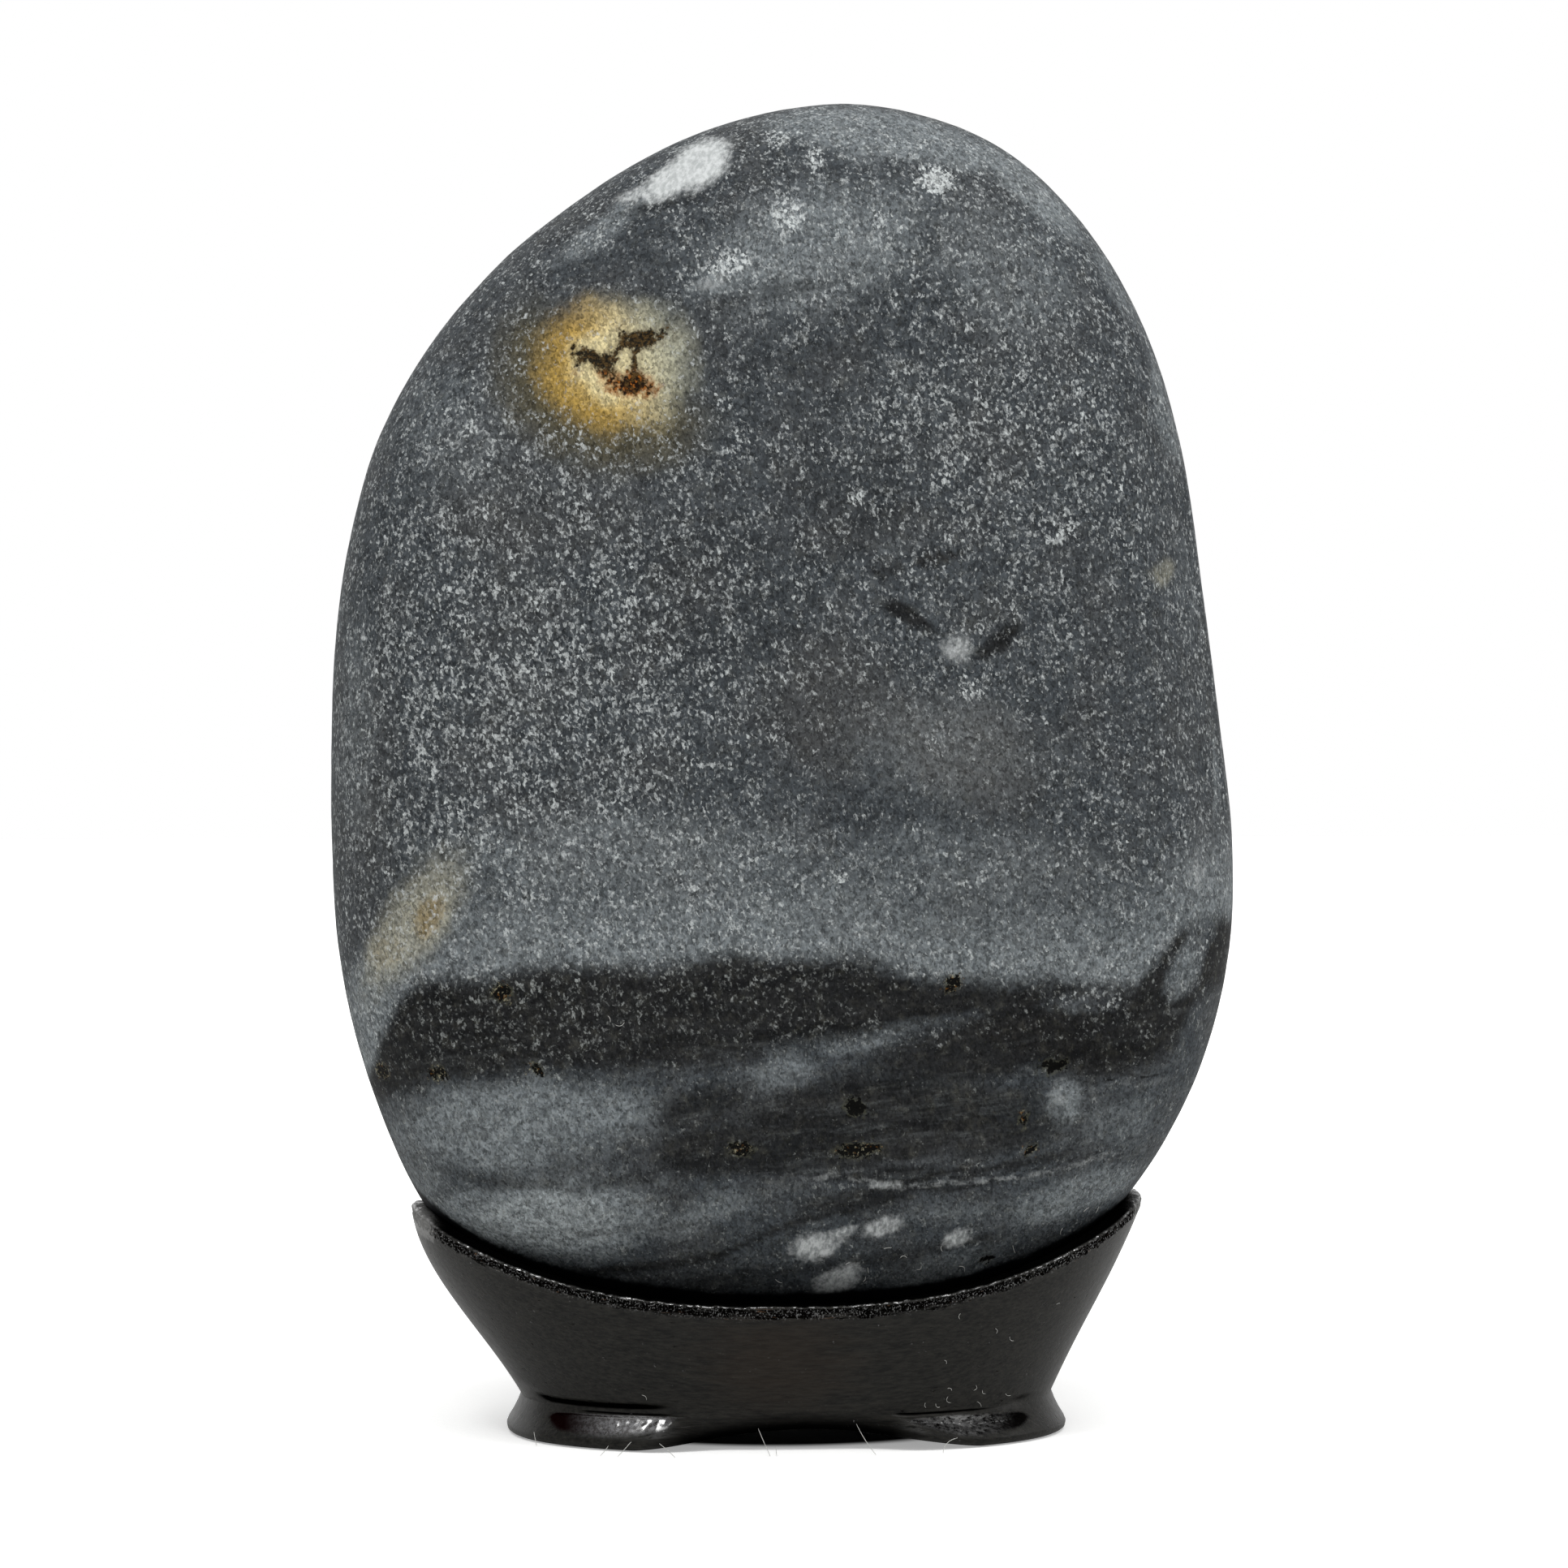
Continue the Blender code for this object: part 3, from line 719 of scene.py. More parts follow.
# Each layer of randomness is its size in mm, its height or reach in mm, and its seed.
LAYER_RELIEF = ((30.0, 0.35, 11), (8.0, 0.07, 12), (2.2, 0.02, 13), (0.9, 0.012, 14))
WOBBLE_LAYERS = ((7.0, 0.9, 21), (2.2, 0.3, 24))
FACE_FADE = (1.0, 8.0)       # how far from the middle plane a face's own marks fade in
WINDOW_LIFT = 9.0            # how far a window lifts a spot out of the dark bed
OFF_THE_FACE = 30.0          # added to a line's height to take it off the back
MOSS_DENT = 0.22


def stone_fields(points):
    """Every painted field of the stone, by name."""
    wobble_x, wobble_z = (
        sum(reach * lattice_noise(points, size, seed + axis) for size, reach, seed in WOBBLE_LAYERS)
        for axis in (0, 2)
    )
    x, y, z = points.T
    front, back = smooth_step(-y, *FACE_FADE), smooth_step(y, *FACE_FADE)
    soft_x, soft_z = x + wobble_x, z + wobble_z
    dip = BED_DIP * (y - FRONT_FACE)
    bed_z = soft_z + dip
    inside_bed = np.minimum(-above_line(x, bed_z, BED_TOP), above_line(x, bed_z, BED_FLOOR))
    inside_bed -= WINDOW_LIFT * front * oval_field(soft_x, soft_z, BED_WINDOWS)
    whites = front * oval_field(x + 0.4 * wobble_x, z + 0.4 * wobble_z, WHITE_PATCHES)
    veils_and_sheen = front * oval_field(soft_x, soft_z, VEILS_AND_EDGE_SHEEN)
    veils_and_sheen = np.maximum(veils_and_sheen, back * oval_field(soft_x, soft_z, BACK_VEILS))
    streak_z = z + 0.5 * wobble_z + dip
    murk = np.maximum(
        front * oval_field(soft_x, soft_z, MURK), ribbon_field(x, streak_z, DARK_STREAKS)
    )
    flecks = 0.5 + front * oval_field(x, z, FLECK_CLUSTERS)
    flecks -= front * oval_field(soft_x, soft_z, CALM_PLACES)
    hollows = [pit[:5] + (1.0 - 0.16 * pit[6],) for pit in PITS]
    rusty = [(px, pz, 1.2 * long, 1.3 * wide, tilt, rust) for px, pz, long, wide, tilt, _, rust in PITS]
    return {
        "bed": inside_bed,
        "bed_height": -above_line(x, bed_z, BED_TOP),
        "white": np.maximum(whites, back * oval_field(soft_x, soft_z, BACK_WHITES)),
        "veil_and_sheen": veils_and_sheen,
        "light_streak": ribbon_field(x, streak_z, LIGHT_STREAKS),
        "murk": murk,
        "tan": front * oval_field(soft_x, soft_z, TAN_STAINS),
        "brown": front * oval_field(soft_x, soft_z, BROWN_TINTS),
        "flecks": flecks,
        "pit": front * oval_field(x, z, hollows),
        "rust": front * oval_field(x, z, rusty),
        "moss": stroke_field(x, z, MOSS) - FAR_OUTSIDE * (1.0 - front),
        "vein": above_line(x, z, VEIN) + OFF_THE_FACE * (1.0 - front),
        "crack": above_line(x, z, CRACK) + OFF_THE_FACE * (1.0 - front),
        "seat": above_line(x, z, SEAT_EDGE),
        "moon_x": x - MOON[0],
        "moon_z": z - MOON[1],
        "front": front,
    }


def stone_relief(points, painted):
    """Height added along the normal: soft undulations, less the dents of pits and moss."""
    quiet = 0.3 + 0.7 * smooth_step(points[:, 2], 14.0, 28.0)
    height = np.zeros(len(points))
    for size, amount, seed in LAYER_RELIEF:
        height += amount * quiet * lattice_noise(points, size, seed)
    x, z = points[:, 0], points[:, 2]
    for pit in PITS:
        height -= pit[5] * oval_field(x, z, [pit[:5] + (1.0,)]) * painted["front"]
    height -= MOSS_DENT * smooth_step(painted["moss"], -0.5, 0.5)
    return height


painted = stone_fields(smooth_points)
normals = point_normals(smooth_points, stone_triangles)
worn_points = smooth_points + normals * stone_relief(smooth_points, painted)[:, None]
stone = mesh_from_triangles("stone_skin", worn_points, stone_triangles, painted)

# %% [markdown]
# ## A shared effect: a ragged edge
#
# Both materials need the same thing again and again: a smooth field turned into a mask whose
# edge is broken by fine noise, as wear, mineral grains and rust all are. It is a shader node
# group with named sockets, so each use only sets how coarse and how ragged the edge is.

# %% The ragged edge group


def make_ragged_edge():
    """Mask = eased step, from Low to High, of Field + Rag * (noise - 0.5)."""
    group = bpy.data.node_groups.new("ragged_edge", "ShaderNodeTree")
    inputs = (("Field", 0.0), ("Grain", 2.0), ("Rag", 0.5), ("Low", 0.0), ("High", 1.0))
    for name, start in inputs:
        socket = group.interface.new_socket(name, in_out="INPUT", socket_type="NodeSocketFloat")
        socket.default_value = start
    group.interface.new_socket("Place", in_out="INPUT", socket_type="NodeSocketVector")
    group.interface.new_socket("Mask", in_out="OUTPUT", socket_type="NodeSocketFloat")
    given = group.nodes.new("NodeGroupInput").outputs
    grain = noise(given["Place"], given["Grain"], 4.0, 0.62)
    mask = put(group, "ShaderNodeMapRange", {
        "Value": (grain - 0.5) * Number(given["Rag"]) + Number(given["Field"]),
        "From Min": given["Low"], "From Max": given["High"],
    }, interpolation_type="SMOOTHSTEP").outputs["Result"]
    feed(group.nodes.new("NodeGroupOutput"), {"Mask": mask})
    return group


RAGGED_EDGE = make_ragged_edge()


def ragged(place, value, grain, rag, low, high):
    """Places the ragged edge group in a material."""
    sockets = {"Field": value, "Place": place, "Grain": grain, "Rag": rag, "Low": low, "High": high}
    node = put(place.id_data, "ShaderNodeGroup", node_tree=RAGGED_EDGE)
    return Number(feed(node, sockets).outputs["Mask"])


# %% [markdown]
# ## The stone's skin
#
# Up close the stone is a dark, faintly blue matrix full of pale crystal flecks a third to
# half a millimetre across, gathered in drifts. The flecks are thresholded noise, stretched a
# little along the grain. Over them come the beds, clouds and stains, each mixed in by its
# painted field. Some pale veils are painted sheen, not cloud: they lighten the stone along
# its outline and over its top, where the rounded edges catch the light. The surface is
# honed by water, not polished, so its gloss is low and broad.

# %% Ground
DARK_MATRIX, GREY_MATRIX = rgb(0.031, 0.036, 0.041), rgb(0.053, 0.060, 0.066)
WARM_MATRIX, BROWN_MATRIX = rgb(0.052, 0.053, 0.054), rgb(0.066, 0.060, 0.054)
THIN_CLOUD_AND_SHEEN, THICK_CLOUD_AND_SHEEN = rgb(0.212, 0.235, 0.245), rgb(0.330, 0.362, 0.370)
GRAIN_BEND = 0.55            # how far, in mm, the grains' outlines are bent

stone_material, tree, shader = new_material("stone_skin")
mm = millimetres(tree)
grain_mm = millimetres(tree, stretch=(1.2, 1.0, 0.85), turn=(0.0, 14.0, 0.0))
bed_mm = millimetres(tree, stretch=(0.16, 0.16, 1.0), turn=(0.0, 7.0, 0.0))
bend = put(tree, "ShaderNodeTexNoise", {"Vector": grain_mm, "Scale": 2.0, "Detail": 2.0})
bent_mm = put(tree, "ShaderNodeVectorMath", {
    0: bend.outputs["Color"], 1: (GRAIN_BEND,) * 3, 2: grain_mm,
}, operation="MULTIPLY_ADD").outputs[0]


def grains(place, per_mm):
    """A random number from 0 to 1 for each angular grain, with per_mm grains in a millimetre."""
    cells = put(place.id_data, "ShaderNodeTexVoronoi", {"Vector": place, "Scale": per_mm})
    parts = put(place.id_data, "ShaderNodeSeparateColor", {0: cells.outputs["Color"]})
    return Number(parts.outputs[0])


fine = noise(grain_mm, 4.2, 2.0, 0.6)
coarse_grains = grains(bent_mm, 3.0)
small_grains = grains(bent_mm, 3.3)
ground = mixed(eased(noise(mm, 0.5, 4.0, 0.6), 0.3, 0.7), DARK_MATRIX, GREY_MATRIX)
ground = mixed(eased(noise(mm, 0.11), 0.42, 0.66) * 0.40, ground, WARM_MATRIX)
ground = mixed(field(tree, "brown") * 0.5, ground, BROWN_MATRIX)
veil_and_sheen_field = field(tree, "veil_and_sheen")
veil_and_sheen = ragged(mm, veil_and_sheen_field, 0.9, 0.7, 0.05, 1.0)
bed_height = field(tree, "bed_height")
haze = eased(bed_height, -14.0, -2.0) * eased(bed_height, 1.8, -1.2)
# Painted sheen comes in with the clouds: the veils along the edges and top lighten the stone as light
# would.
cloud_and_sheen = strongest(veil_and_sheen * 0.90, haze * 0.72) * eased(noise(mm, 1.0, 5.0, 0.7), 0.1, 0.75)
cloud_and_sheen_colour = mixed(eased(veil_and_sheen_field, 0.95, 1.35), THIN_CLOUD_AND_SHEEN, THICK_CLOUD_AND_SHEEN)
ground = mixed(cloud_and_sheen, ground, cloud_and_sheen_colour)

# %% Beds, streaks and stains
BED_BLACK, BED_GREY = rgb(0.0040, 0.0042, 0.0046), rgb(0.0140, 0.0140, 0.0142)
WISP, DUSK = rgb(0.100, 0.108, 0.110), rgb(0.030, 0.031, 0.032)
PALE_STREAK = rgb(0.17, 0.18, 0.185)
TAN_EDGE, TAN_HEART = rgb(0.330, 0.318, 0.245), rgb(0.235, 0.178, 0.082)

bed_dark = mixed(eased(noise(bed_mm, 0.5, 4.0, 0.6), 0.3, 0.7), BED_BLACK, BED_GREY)
bed = ragged(mm, field(tree, "bed"), 1.2, 3.4, -1.4, 1.8)
ground = mixed(bed * 0.93, ground, bed_dark)
murk = ragged(bed_mm, field(tree, "murk"), 0.8, 0.7, 0.12, 0.90)
ground = mixed(murk * 0.88, ground, bed_dark)
under_bed = eased(bed_height, 2.0, 14.0)
wisps = eased(noise(bed_mm, 0.8, 5.0, 0.65), 0.50, 0.78)
ground = mixed(wisps * under_bed * 0.45, ground, WISP)
dusk = eased(noise(bed_mm, 0.55, 5.0, 0.65), 0.46, 0.26)
ground = mixed(dusk * under_bed * 0.55, ground, DUSK)
streak = ragged(mm, field(tree, "light_streak"), 1.3, 1.2, 0.3, 1.1)
ground = mixed(streak * 0.5, ground, PALE_STREAK)
tan_field = field(tree, "tan")
tan = ragged(mm, tan_field, 0.8, 0.8, -0.05, 1.15)
tan_core = ragged(mm, tan_field, 0.8, 0.5, 0.80, 1.25)
ground = mixed(tan * 0.74, ground, mixed(tan_core, TAN_EDGE, TAN_HEART))

# %% Veins and the crack
THREAD_FADE = 4.0            # length over which a line fades in and out
# Each line: its field, how far above it, start and end in X, half width, strength and colour.
THREADS = (
    ("vein", 0.0, 0.0, 38.0, 0.46, 0.62, rgb(0.21, 0.22, 0.22)),
    ("vein", 0.65, 8.0, 38.0, 0.30, 0.80, rgb(0.008, 0.008, 0.008)),
    ("crack", 0.0, 29.0, 44.0, 0.22, 0.95, rgb(0.005, 0.005, 0.005)),
    ("crack", -0.8, 31.0, 44.0, 0.60, 0.40, rgb(0.15, 0.16, 0.16)),
)

stone_x = along_x(mm)
line_wander = noise(mm, 0.45, 5.0, 0.62) * 1.1 - 0.55
line_breaks = eased(noise(mm, 1.0, 5.0, 0.7), 0.38, 0.60)
for name, lift, start, end, half_width, share, colour in THREADS:
    above_it = calc("ABSOLUTE", field(tree, name) + line_wander - lift)
    line = eased(above_it, half_width, half_width * 0.2)
    ends = eased(stone_x, start, start + THREAD_FADE) * eased(stone_x, end, end - THREAD_FADE)
    ground = mixed(line * ends * line_breaks * share, ground, colour)

# %% [markdown]
# ## The moon
#
# The ochre spot is iron that soaked into the stone from a speck at its middle: cream at the
# heart, a rust-yellow ring that is strongest on the left, a cool greenish white on the right,
# and a brown shade fading into the grey. All of it is read from the distance to its middle.
# The moss in it is black and rust-red manganese that grew in branches. Its strokes are a
# painted field, and strong fine noise at their edge makes the branching.

# %% Moon colours
MOON_SHADE = rgb(0.072, 0.062, 0.034)
MOON_COOL, MOON_CREAM = rgb(0.345, 0.342, 0.255), rgb(0.57, 0.49, 0.275)
MOON_RUST = rgb(0.345, 0.210, 0.030)
MOON_LIFT, MOON_FLATTENING = 0.45, 1.14      # its rings' middle, and how much wider than tall

moon_x, moon_z = field(tree, "moon_x"), field(tree, "moon_z")
front = field(tree, "front")
flat = (moon_z - MOON_LIFT) * MOON_FLATTENING
away = calc("SQRT", moon_x * moon_x + flat * flat)
away += (noise(mm, 0.30, 6.0, 0.62) - 0.5) * 5.0 - moon_x * 0.07
rustward = moon_x * -0.10 - moon_z * 0.035
shade = eased(away, 16.0, 9.0) * eased(moon_x * -0.08 - moon_z * 0.12, -0.7, 0.4)
ground = mixed(shade * front * 0.85, ground, MOON_SHADE)
body = eased(away, 10.6, 4.6) * front
heart = mixed(eased(rustward, -0.85, 0.05), MOON_COOL, MOON_CREAM)
ring = eased(away, 3.2, 6.2) * eased(rustward, -0.60, 0.30)
heart = mixed(ring * 0.9, heart, MOON_RUST)
ground = mixed(body * 0.95, ground, heart)

# %% Grain and flecks over everything
FLECK, FLECK_IN_BED = rgb(0.56, 0.59, 0.59), rgb(0.36, 0.38, 0.37)

tone = small_grains * 0.85 + fine * 1.30 - 0.10
skin = put(
    tree, "ShaderNodeVectorMath", {0: ground, "Scale": tone}, operation="SCALE"
).outputs[0]
drift = noise(mm, 0.40, 3.0, 0.6) - 0.5
gather = noise(mm, 1.05) - 0.5
speck = noise(grain_mm, 2.9, 4.0, 0.70)
amount = speck * 0.62 + coarse_grains * 0.30 + drift * 0.26 + gather * 0.22
amount += field(tree, "flecks") * 0.09
amount -= strongest(bed, murk) * 0.040 + strongest(under_bed, body) * 0.055
fleck = eased(amount, 0.54, 0.86)
skin = mixed(fleck, skin, mixed(strongest(bed, under_bed), FLECK, FLECK_IN_BED))

# %% Moss
MOSS_BLACK, MOSS_BROWN = rgb(0.0015, 0.001, 0.0005), rgb(0.075, 0.042, 0.012)
MOSS_RUST = rgb(0.24, 0.075, 0.010)
FRINGE_BROWN, FRINGE_RUST = rgb(0.115, 0.086, 0.050), rgb(0.26, 0.085, 0.012)

moss_field = field(tree, "moss")
moss = ragged(mm, moss_field, 2.0, 1.6, -0.22, 0.08)
fringe = ragged(mm, moss_field, 1.6, 1.9, -0.9, 0.35)
low_moss = eased(moon_z, 0.4, -1.0)
skin = mixed(fringe * (low_moss * 0.35 + 0.55) * body, skin,
             mixed(low_moss, FRINGE_BROWN, FRINGE_RUST))
moss_colour = mixed(eased(noise(mm, 2.6, 3.0, 0.7), 0.44, 0.64), MOSS_BLACK, MOSS_BROWN)
moss_colour = mixed(low_moss * eased(small_grains, 0.70, 0.86), moss_colour, MOSS_RUST)
skin = mixed(moss * 0.97, skin, moss_colour)

# %% White patches
DAB_SHADE, DAB_LIGHT = rgb(0.26, 0.275, 0.275), rgb(0.58, 0.60, 0.60)
LEAF_SHADE, LEAF_LIGHT = rgb(0.42, 0.44, 0.44), rgb(0.63, 0.65, 0.65)

white_field = field(tree, "white")
white = ragged(mm, white_field, 1.3, 1.25, 0.16, 1.04)
white_depth = eased(white_field, 0.90, 1.15)
rib_mm = millimetres(tree, stretch=(1.5, 1.0, 0.8), turn=(0.0, -10.0, 0.0))
ribs = eased(noise(rib_mm, 1.3, 4.0, 0.65), 0.35, 0.65)
white_colour = mixed(ribs, mixed(white_depth, DAB_SHADE, LEAF_SHADE),
                     mixed(white_depth, DAB_LIGHT, LEAF_LIGHT))
skin = mixed(white * 0.92, skin, white_colour)

# %% Pits and the seat's shadow
PIT_RIM, PIT_BLACK = rgb(0.105, 0.105, 0.070), rgb(0.0010, 0.0010, 0.0008)
CRUMB_RUST, CRUMB_PALE = rgb(0.120, 0.050, 0.008), rgb(0.300, 0.275, 0.185)
SEAT_BLACK = rgb(0.0008, 0.0008, 0.0016)

pit_field = field(tree, "pit")
pit = ragged(mm, pit_field, 2.2, 1.9, 0.38, 0.50)
skin = mixed(ragged(mm, pit_field, 1.8, 1.3, 0.10, 0.55) * 0.35, skin, PIT_RIM)
skin = mixed(pit * 0.98, skin, PIT_BLACK)
rust = ragged(mm, field(tree, "rust"), 2.4, 1.4, 0.2, 0.7)
crumbs = rust * eased(noise(mm, 2.8, 3.0, 0.7), 0.55, 0.63)
crumb_tint = mixed(eased(noise(mm, 1.6, 2.0, 0.6), 0.40, 0.52), CRUMB_RUST, CRUMB_PALE)
skin = mixed(crumbs * 0.80, skin, crumb_tint)
seat_shadow = ragged(mm, field(tree, "seat"), 0.5, 0.9, 0.20, -0.60)
skin = mixed(seat_shadow * 0.98, skin, SEAT_BLACK)

# %% The stone's gloss and grain
PIT_BUMP = 3.0               # how much deeper the pits' bump is than the grain's

tooth = fleck * 0.5 + fine - strongest(pit, moss) * PIT_BUMP
feed(shader, {
    "Base Color": skin,
    "Roughness": fleck * -0.10 + 0.62 + white * 0.08,
    "Specular IOR Level": 0.06,
    "Normal": bumped(tooth, 0.7, 0.00005),
})
stone.data.materials.append(stone_material)
print("stone material nodes", len(tree.nodes))

# %% [markdown]
# ## The stand's form
#
# The stand is carved from one block. Its section changes little as it goes round: an underside,
# a toe that stands out at the feet, a waist, a wall leaning out, a thin rounded rim, and the
# hollow inside. So it is one profile carried round a slightly squared oval. Each ring of the
# profile is worked out for every column at once. The rim dips in the middle of each long side,
# so a ring's height depends on where it is along X, and that is settled by a few repeats.

# %% The oval and its levels
OVAL_FULLNESS = 2.3
WAIST = 4.3
WAIST_ENDS = (-29.8, 30.7)
WAIST_HALF_DEPTH = 17.6
# The wall's left end, right end and half depth: height and place along X or Y.
WALL_LEFT = [(4.3, -29.8), (5.3, -30.5), (9.05, -33.0), (12.8, -35.8), (16.5, -38.4),
             (20.2, -40.6), (23.0, -41.8), (26.5, -42.3)]
WALL_RIGHT = [(4.3, 30.7), (5.3, 31.1), (9.05, 33.0), (12.8, 35.0), (16.5, 36.8),
              (20.2, 38.6), (24.0, 40.4), (27.5, 41.6)]
WALL_DEPTH = [(4.3, 17.6), (12.8, 20.4), (20.2, 22.7), (24.0, 23.8), (31.0, 25.6)]
RIM_FRONT_HEIGHT = 16.8
RIM_RISE_LEFT = 7.9
RIM_RISE_RIGHT = 9.2
RIM_POWER_LEFT = 2.6
RIM_POWER_RIGHT = 2.5
RIM_REACH = 40.0
AROUND_STEPS = 660


def level_curve(levels):
    """A smooth cubic through the levels, as a function of height."""
    height, value = np.array(levels).T
    return np.poly1d(np.polyfit(height, value, 3))


LEFT_AT, RIGHT_AT, DEPTH_AT = (level_curve(each) for each in (WALL_LEFT, WALL_RIGHT, WALL_DEPTH))
TURN = np.linspace(0.0, 2 * np.pi, AROUND_STEPS, endpoint=False) + np.pi / 2
ACROSS = np.sign(np.cos(TURN)) * np.abs(np.cos(TURN)) ** (2.0 / OVAL_FULLNESS)
ALONG = np.sign(np.sin(TURN)) * np.abs(np.sin(TURN)) ** (2.0 / OVAL_FULLNESS)


def wall_ring(height, inset=0.0):
    """A ring of the wall at a height given for each column, moved in by inset."""
    left, right = LEFT_AT(height), RIGHT_AT(height)
    x = (left + right) / 2 + ((right - left) / 2 - inset) * ACROSS
    y = (DEPTH_AT(height) - inset) * ALONG
    return np.column_stack([x, y, np.broadcast_to(height, x.shape)])


def rim_height(x):
    """The rim's dip: its middle height plus a power of the distance from the middle."""
    left = RIM_RISE_LEFT * (np.abs(x) / RIM_REACH) ** RIM_POWER_LEFT
    right = RIM_RISE_RIGHT * (np.abs(x) / RIM_REACH) ** RIM_POWER_RIGHT
    return RIM_FRONT_HEIGHT + np.where(x < 0.0, left, right)


def rim_level():
    """The rim's height in each column, found by repeating height -> place -> height."""
    height = np.full(AROUND_STEPS, RIM_FRONT_HEIGHT)
    for _ in range(12):
        height = rim_height(wall_ring(height)[:, 0])
    return height


RIM = rim_level()
print("rim from", RIM.min().round(1), "to", RIM.max().round(1), "mm high")

# %% [markdown]
# ## Feet, arch and gouges
#
# Between the feet the wall runs on down to a low arch. At the feet it turns out into a toe,
# and a carver's gouge has cut a leaf-shaped hollow with a sharp valley into the toe's front.
# A thin groove marks the top of each foot. All three are changes to how far the surface
# stands out, as functions of x and height, so they cost no extra pieces.

# %% Toe, arch and cuts
TOE_HEIGHTS = [0.0, 0.35, 0.8, 1.3, 2.2, 3.2, 4.0, 4.3]
TOE_STANDS = [1.25, 1.55, 1.65, 1.45, 0.9, 0.4, 0.1, 0.0]
FOOT_STARTS = 7.0
FOOT_FULL = 15.0
WALL_LEAN_BELOW = 0.35
ARCH_LEFT = -17.0
ARCH_RIGHT = 21.0
ARCH_HEIGHT = 2.4
ARCH_ROUNDNESS = 1.3
# Each gouge: x, its upper edge and its lower edge, from one end to the other.
GOUGES = [
    [(-27.6, 2.8, 1.7), (-26.0, 3.6, 0.95), (-23.6, 3.78, 0.9), (-20.3, 3.82, 1.05),
     (-16.8, 3.89, 1.54), (-14.1, 3.87, 2.25), (-12.6, 3.86, 2.9), (-11.6, 3.6, 3.55)],
    [(11.9, 3.6, 3.55), (13.1, 3.64, 2.93), (15.3, 3.68, 2.28), (17.1, 3.78, 1.73),
     (19.3, 3.85, 1.13), (21.5, 3.74, 0.9), (24.1, 3.69, 1.0), (26.5, 3.5, 1.4),
     (28.2, 3.0, 2.0)],
]
GOUGE_DEPTH = 0.50
GOUGE_FADE = 2.4                     # length over which a gouge's depth fades at each end
VALLEY_SHARES = (0.84, 0.56)         # where the valley lies between lower and upper edge
# Each groove: its line of (x, height), half width, depth.
GROOVES = [
    ([(-28.9, 5.35), (-26.4, 4.82), (-23.6, 4.78), (-18.3, 4.82), (-11.6, 4.90)], 0.30, 0.42),
    ([(-24.5, 3.92), (-20.0, 3.98), (-14.0, 4.02), (-9.5, 3.72)], 0.11, 0.30),
    ([(10.6, 4.02), (14.1, 3.94), (19.0, 3.98), (25.5, 4.05)], 0.11, 0.34),
    ([(24.6, 4.30), (26.1, 4.72), (29.2, 5.00)], 0.26, 0.50),
]


def arch_height(x):
    """Height of the underside: a rounded arch between the feet, and the floor at the feet."""
    share = np.clip((x - ARCH_LEFT) / (ARCH_RIGHT - ARCH_LEFT), 0.0, 1.0)
    return ARCH_HEIGHT * np.sin(np.pi * share) ** ARCH_ROUNDNESS


def gouge_cut(x, z):
    """Depth of the gouges: a V between two edges that meet at a point."""
    cut = np.zeros(x.shape)
    for gouge, valley in zip(GOUGES, VALLEY_SHARES):
        place, upper, lower = np.array(gouge).T
        high, low = np.interp(x, place, upper), np.interp(x, place, lower)
        share = (z - low) / np.maximum(high - low, 0.05)
        slope = np.minimum(share / valley, (1.0 - share) / (1.0 - valley))
        size = np.clip((high - low) / 2.2, 0.0, 1.0)
        ends = smooth_step(x, place[0], place[0] + GOUGE_FADE)
        ends *= smooth_step(-x, -place[-1], GOUGE_FADE - place[-1])
        cut = np.maximum(cut, np.clip(slope, 0.0, 1.0) ** 1.2 * size * ends)
    return cut


def groove_cut(x, z):
    """Depth in mm of the thin grooves above the feet, fading at both ends."""
    cut = np.zeros(x.shape)
    for line, half_width, depth in GROOVES:
        start, end = line[0][0], line[-1][0]
        ends = smooth_step(x, start, start + 2.5) * smooth_step(-x, -end, 6.0 - end)
        near = np.exp(-((above_line(x, z, line) / half_width) ** 2))
        cut = np.maximum(cut, depth * near * ends)
    return cut


def foot_ring(level, inset=0.0):
    """A ring below the waist: level runs from 0 at the bottom edge to the waist."""
    left, right = WAIST_ENDS
    x = (right + left) / 2 + (right - left) / 2 * ACROSS
    at_foot = smooth_step(np.abs(x), FOOT_STARTS, FOOT_FULL)
    bottom = arch_height(x)
    height = bottom + level * (WAIST - bottom) / WAIST
    toe = np.interp(level, TOE_HEIGHTS, TOE_STANDS)
    out = toe * at_foot - WALL_LEAN_BELOW * (WAIST - height) * (1.0 - at_foot) - inset
    return np.column_stack([x + out * ACROSS, WAIST_HALF_DEPTH * ALONG + out * ALONG, height])


# %% [markdown]
# ## The hollow and the seat
#
# Inside the rim a narrow ledge runs round, then the wood falls away into a seat that follows
# the stone. The seat is found from the stone's own thickness formula: for each spot, the
# lowest height at which the stone is thick enough to be above it, less a small clearance.

# %% The seat under the stone
RIM_THICKNESS = 2.1
CREVICE_DEPTH = 3.4
SEAT_CLEARANCE = 0.75
SEAT_RINGS = 18


def stone_underside(x, y):
    """Lowest height of the stone above each (x, y), or a large height where there is none."""
    heights = np.linspace(10.0, 40.0, 241)
    half = half_thickness(x[:, None], heights[None, :], BACK_CROWN)
    inside = np.hypot(x[:, None], heights - STONE_HEART) < outline_reach(
        np.arctan2(heights - STONE_HEART, x[:, None])
    )
    covers = inside & (half >= np.abs(y)[:, None])
    lowest = heights[np.argmax(covers, axis=1)]
    return np.where(covers.any(axis=1), lowest, 99.0)


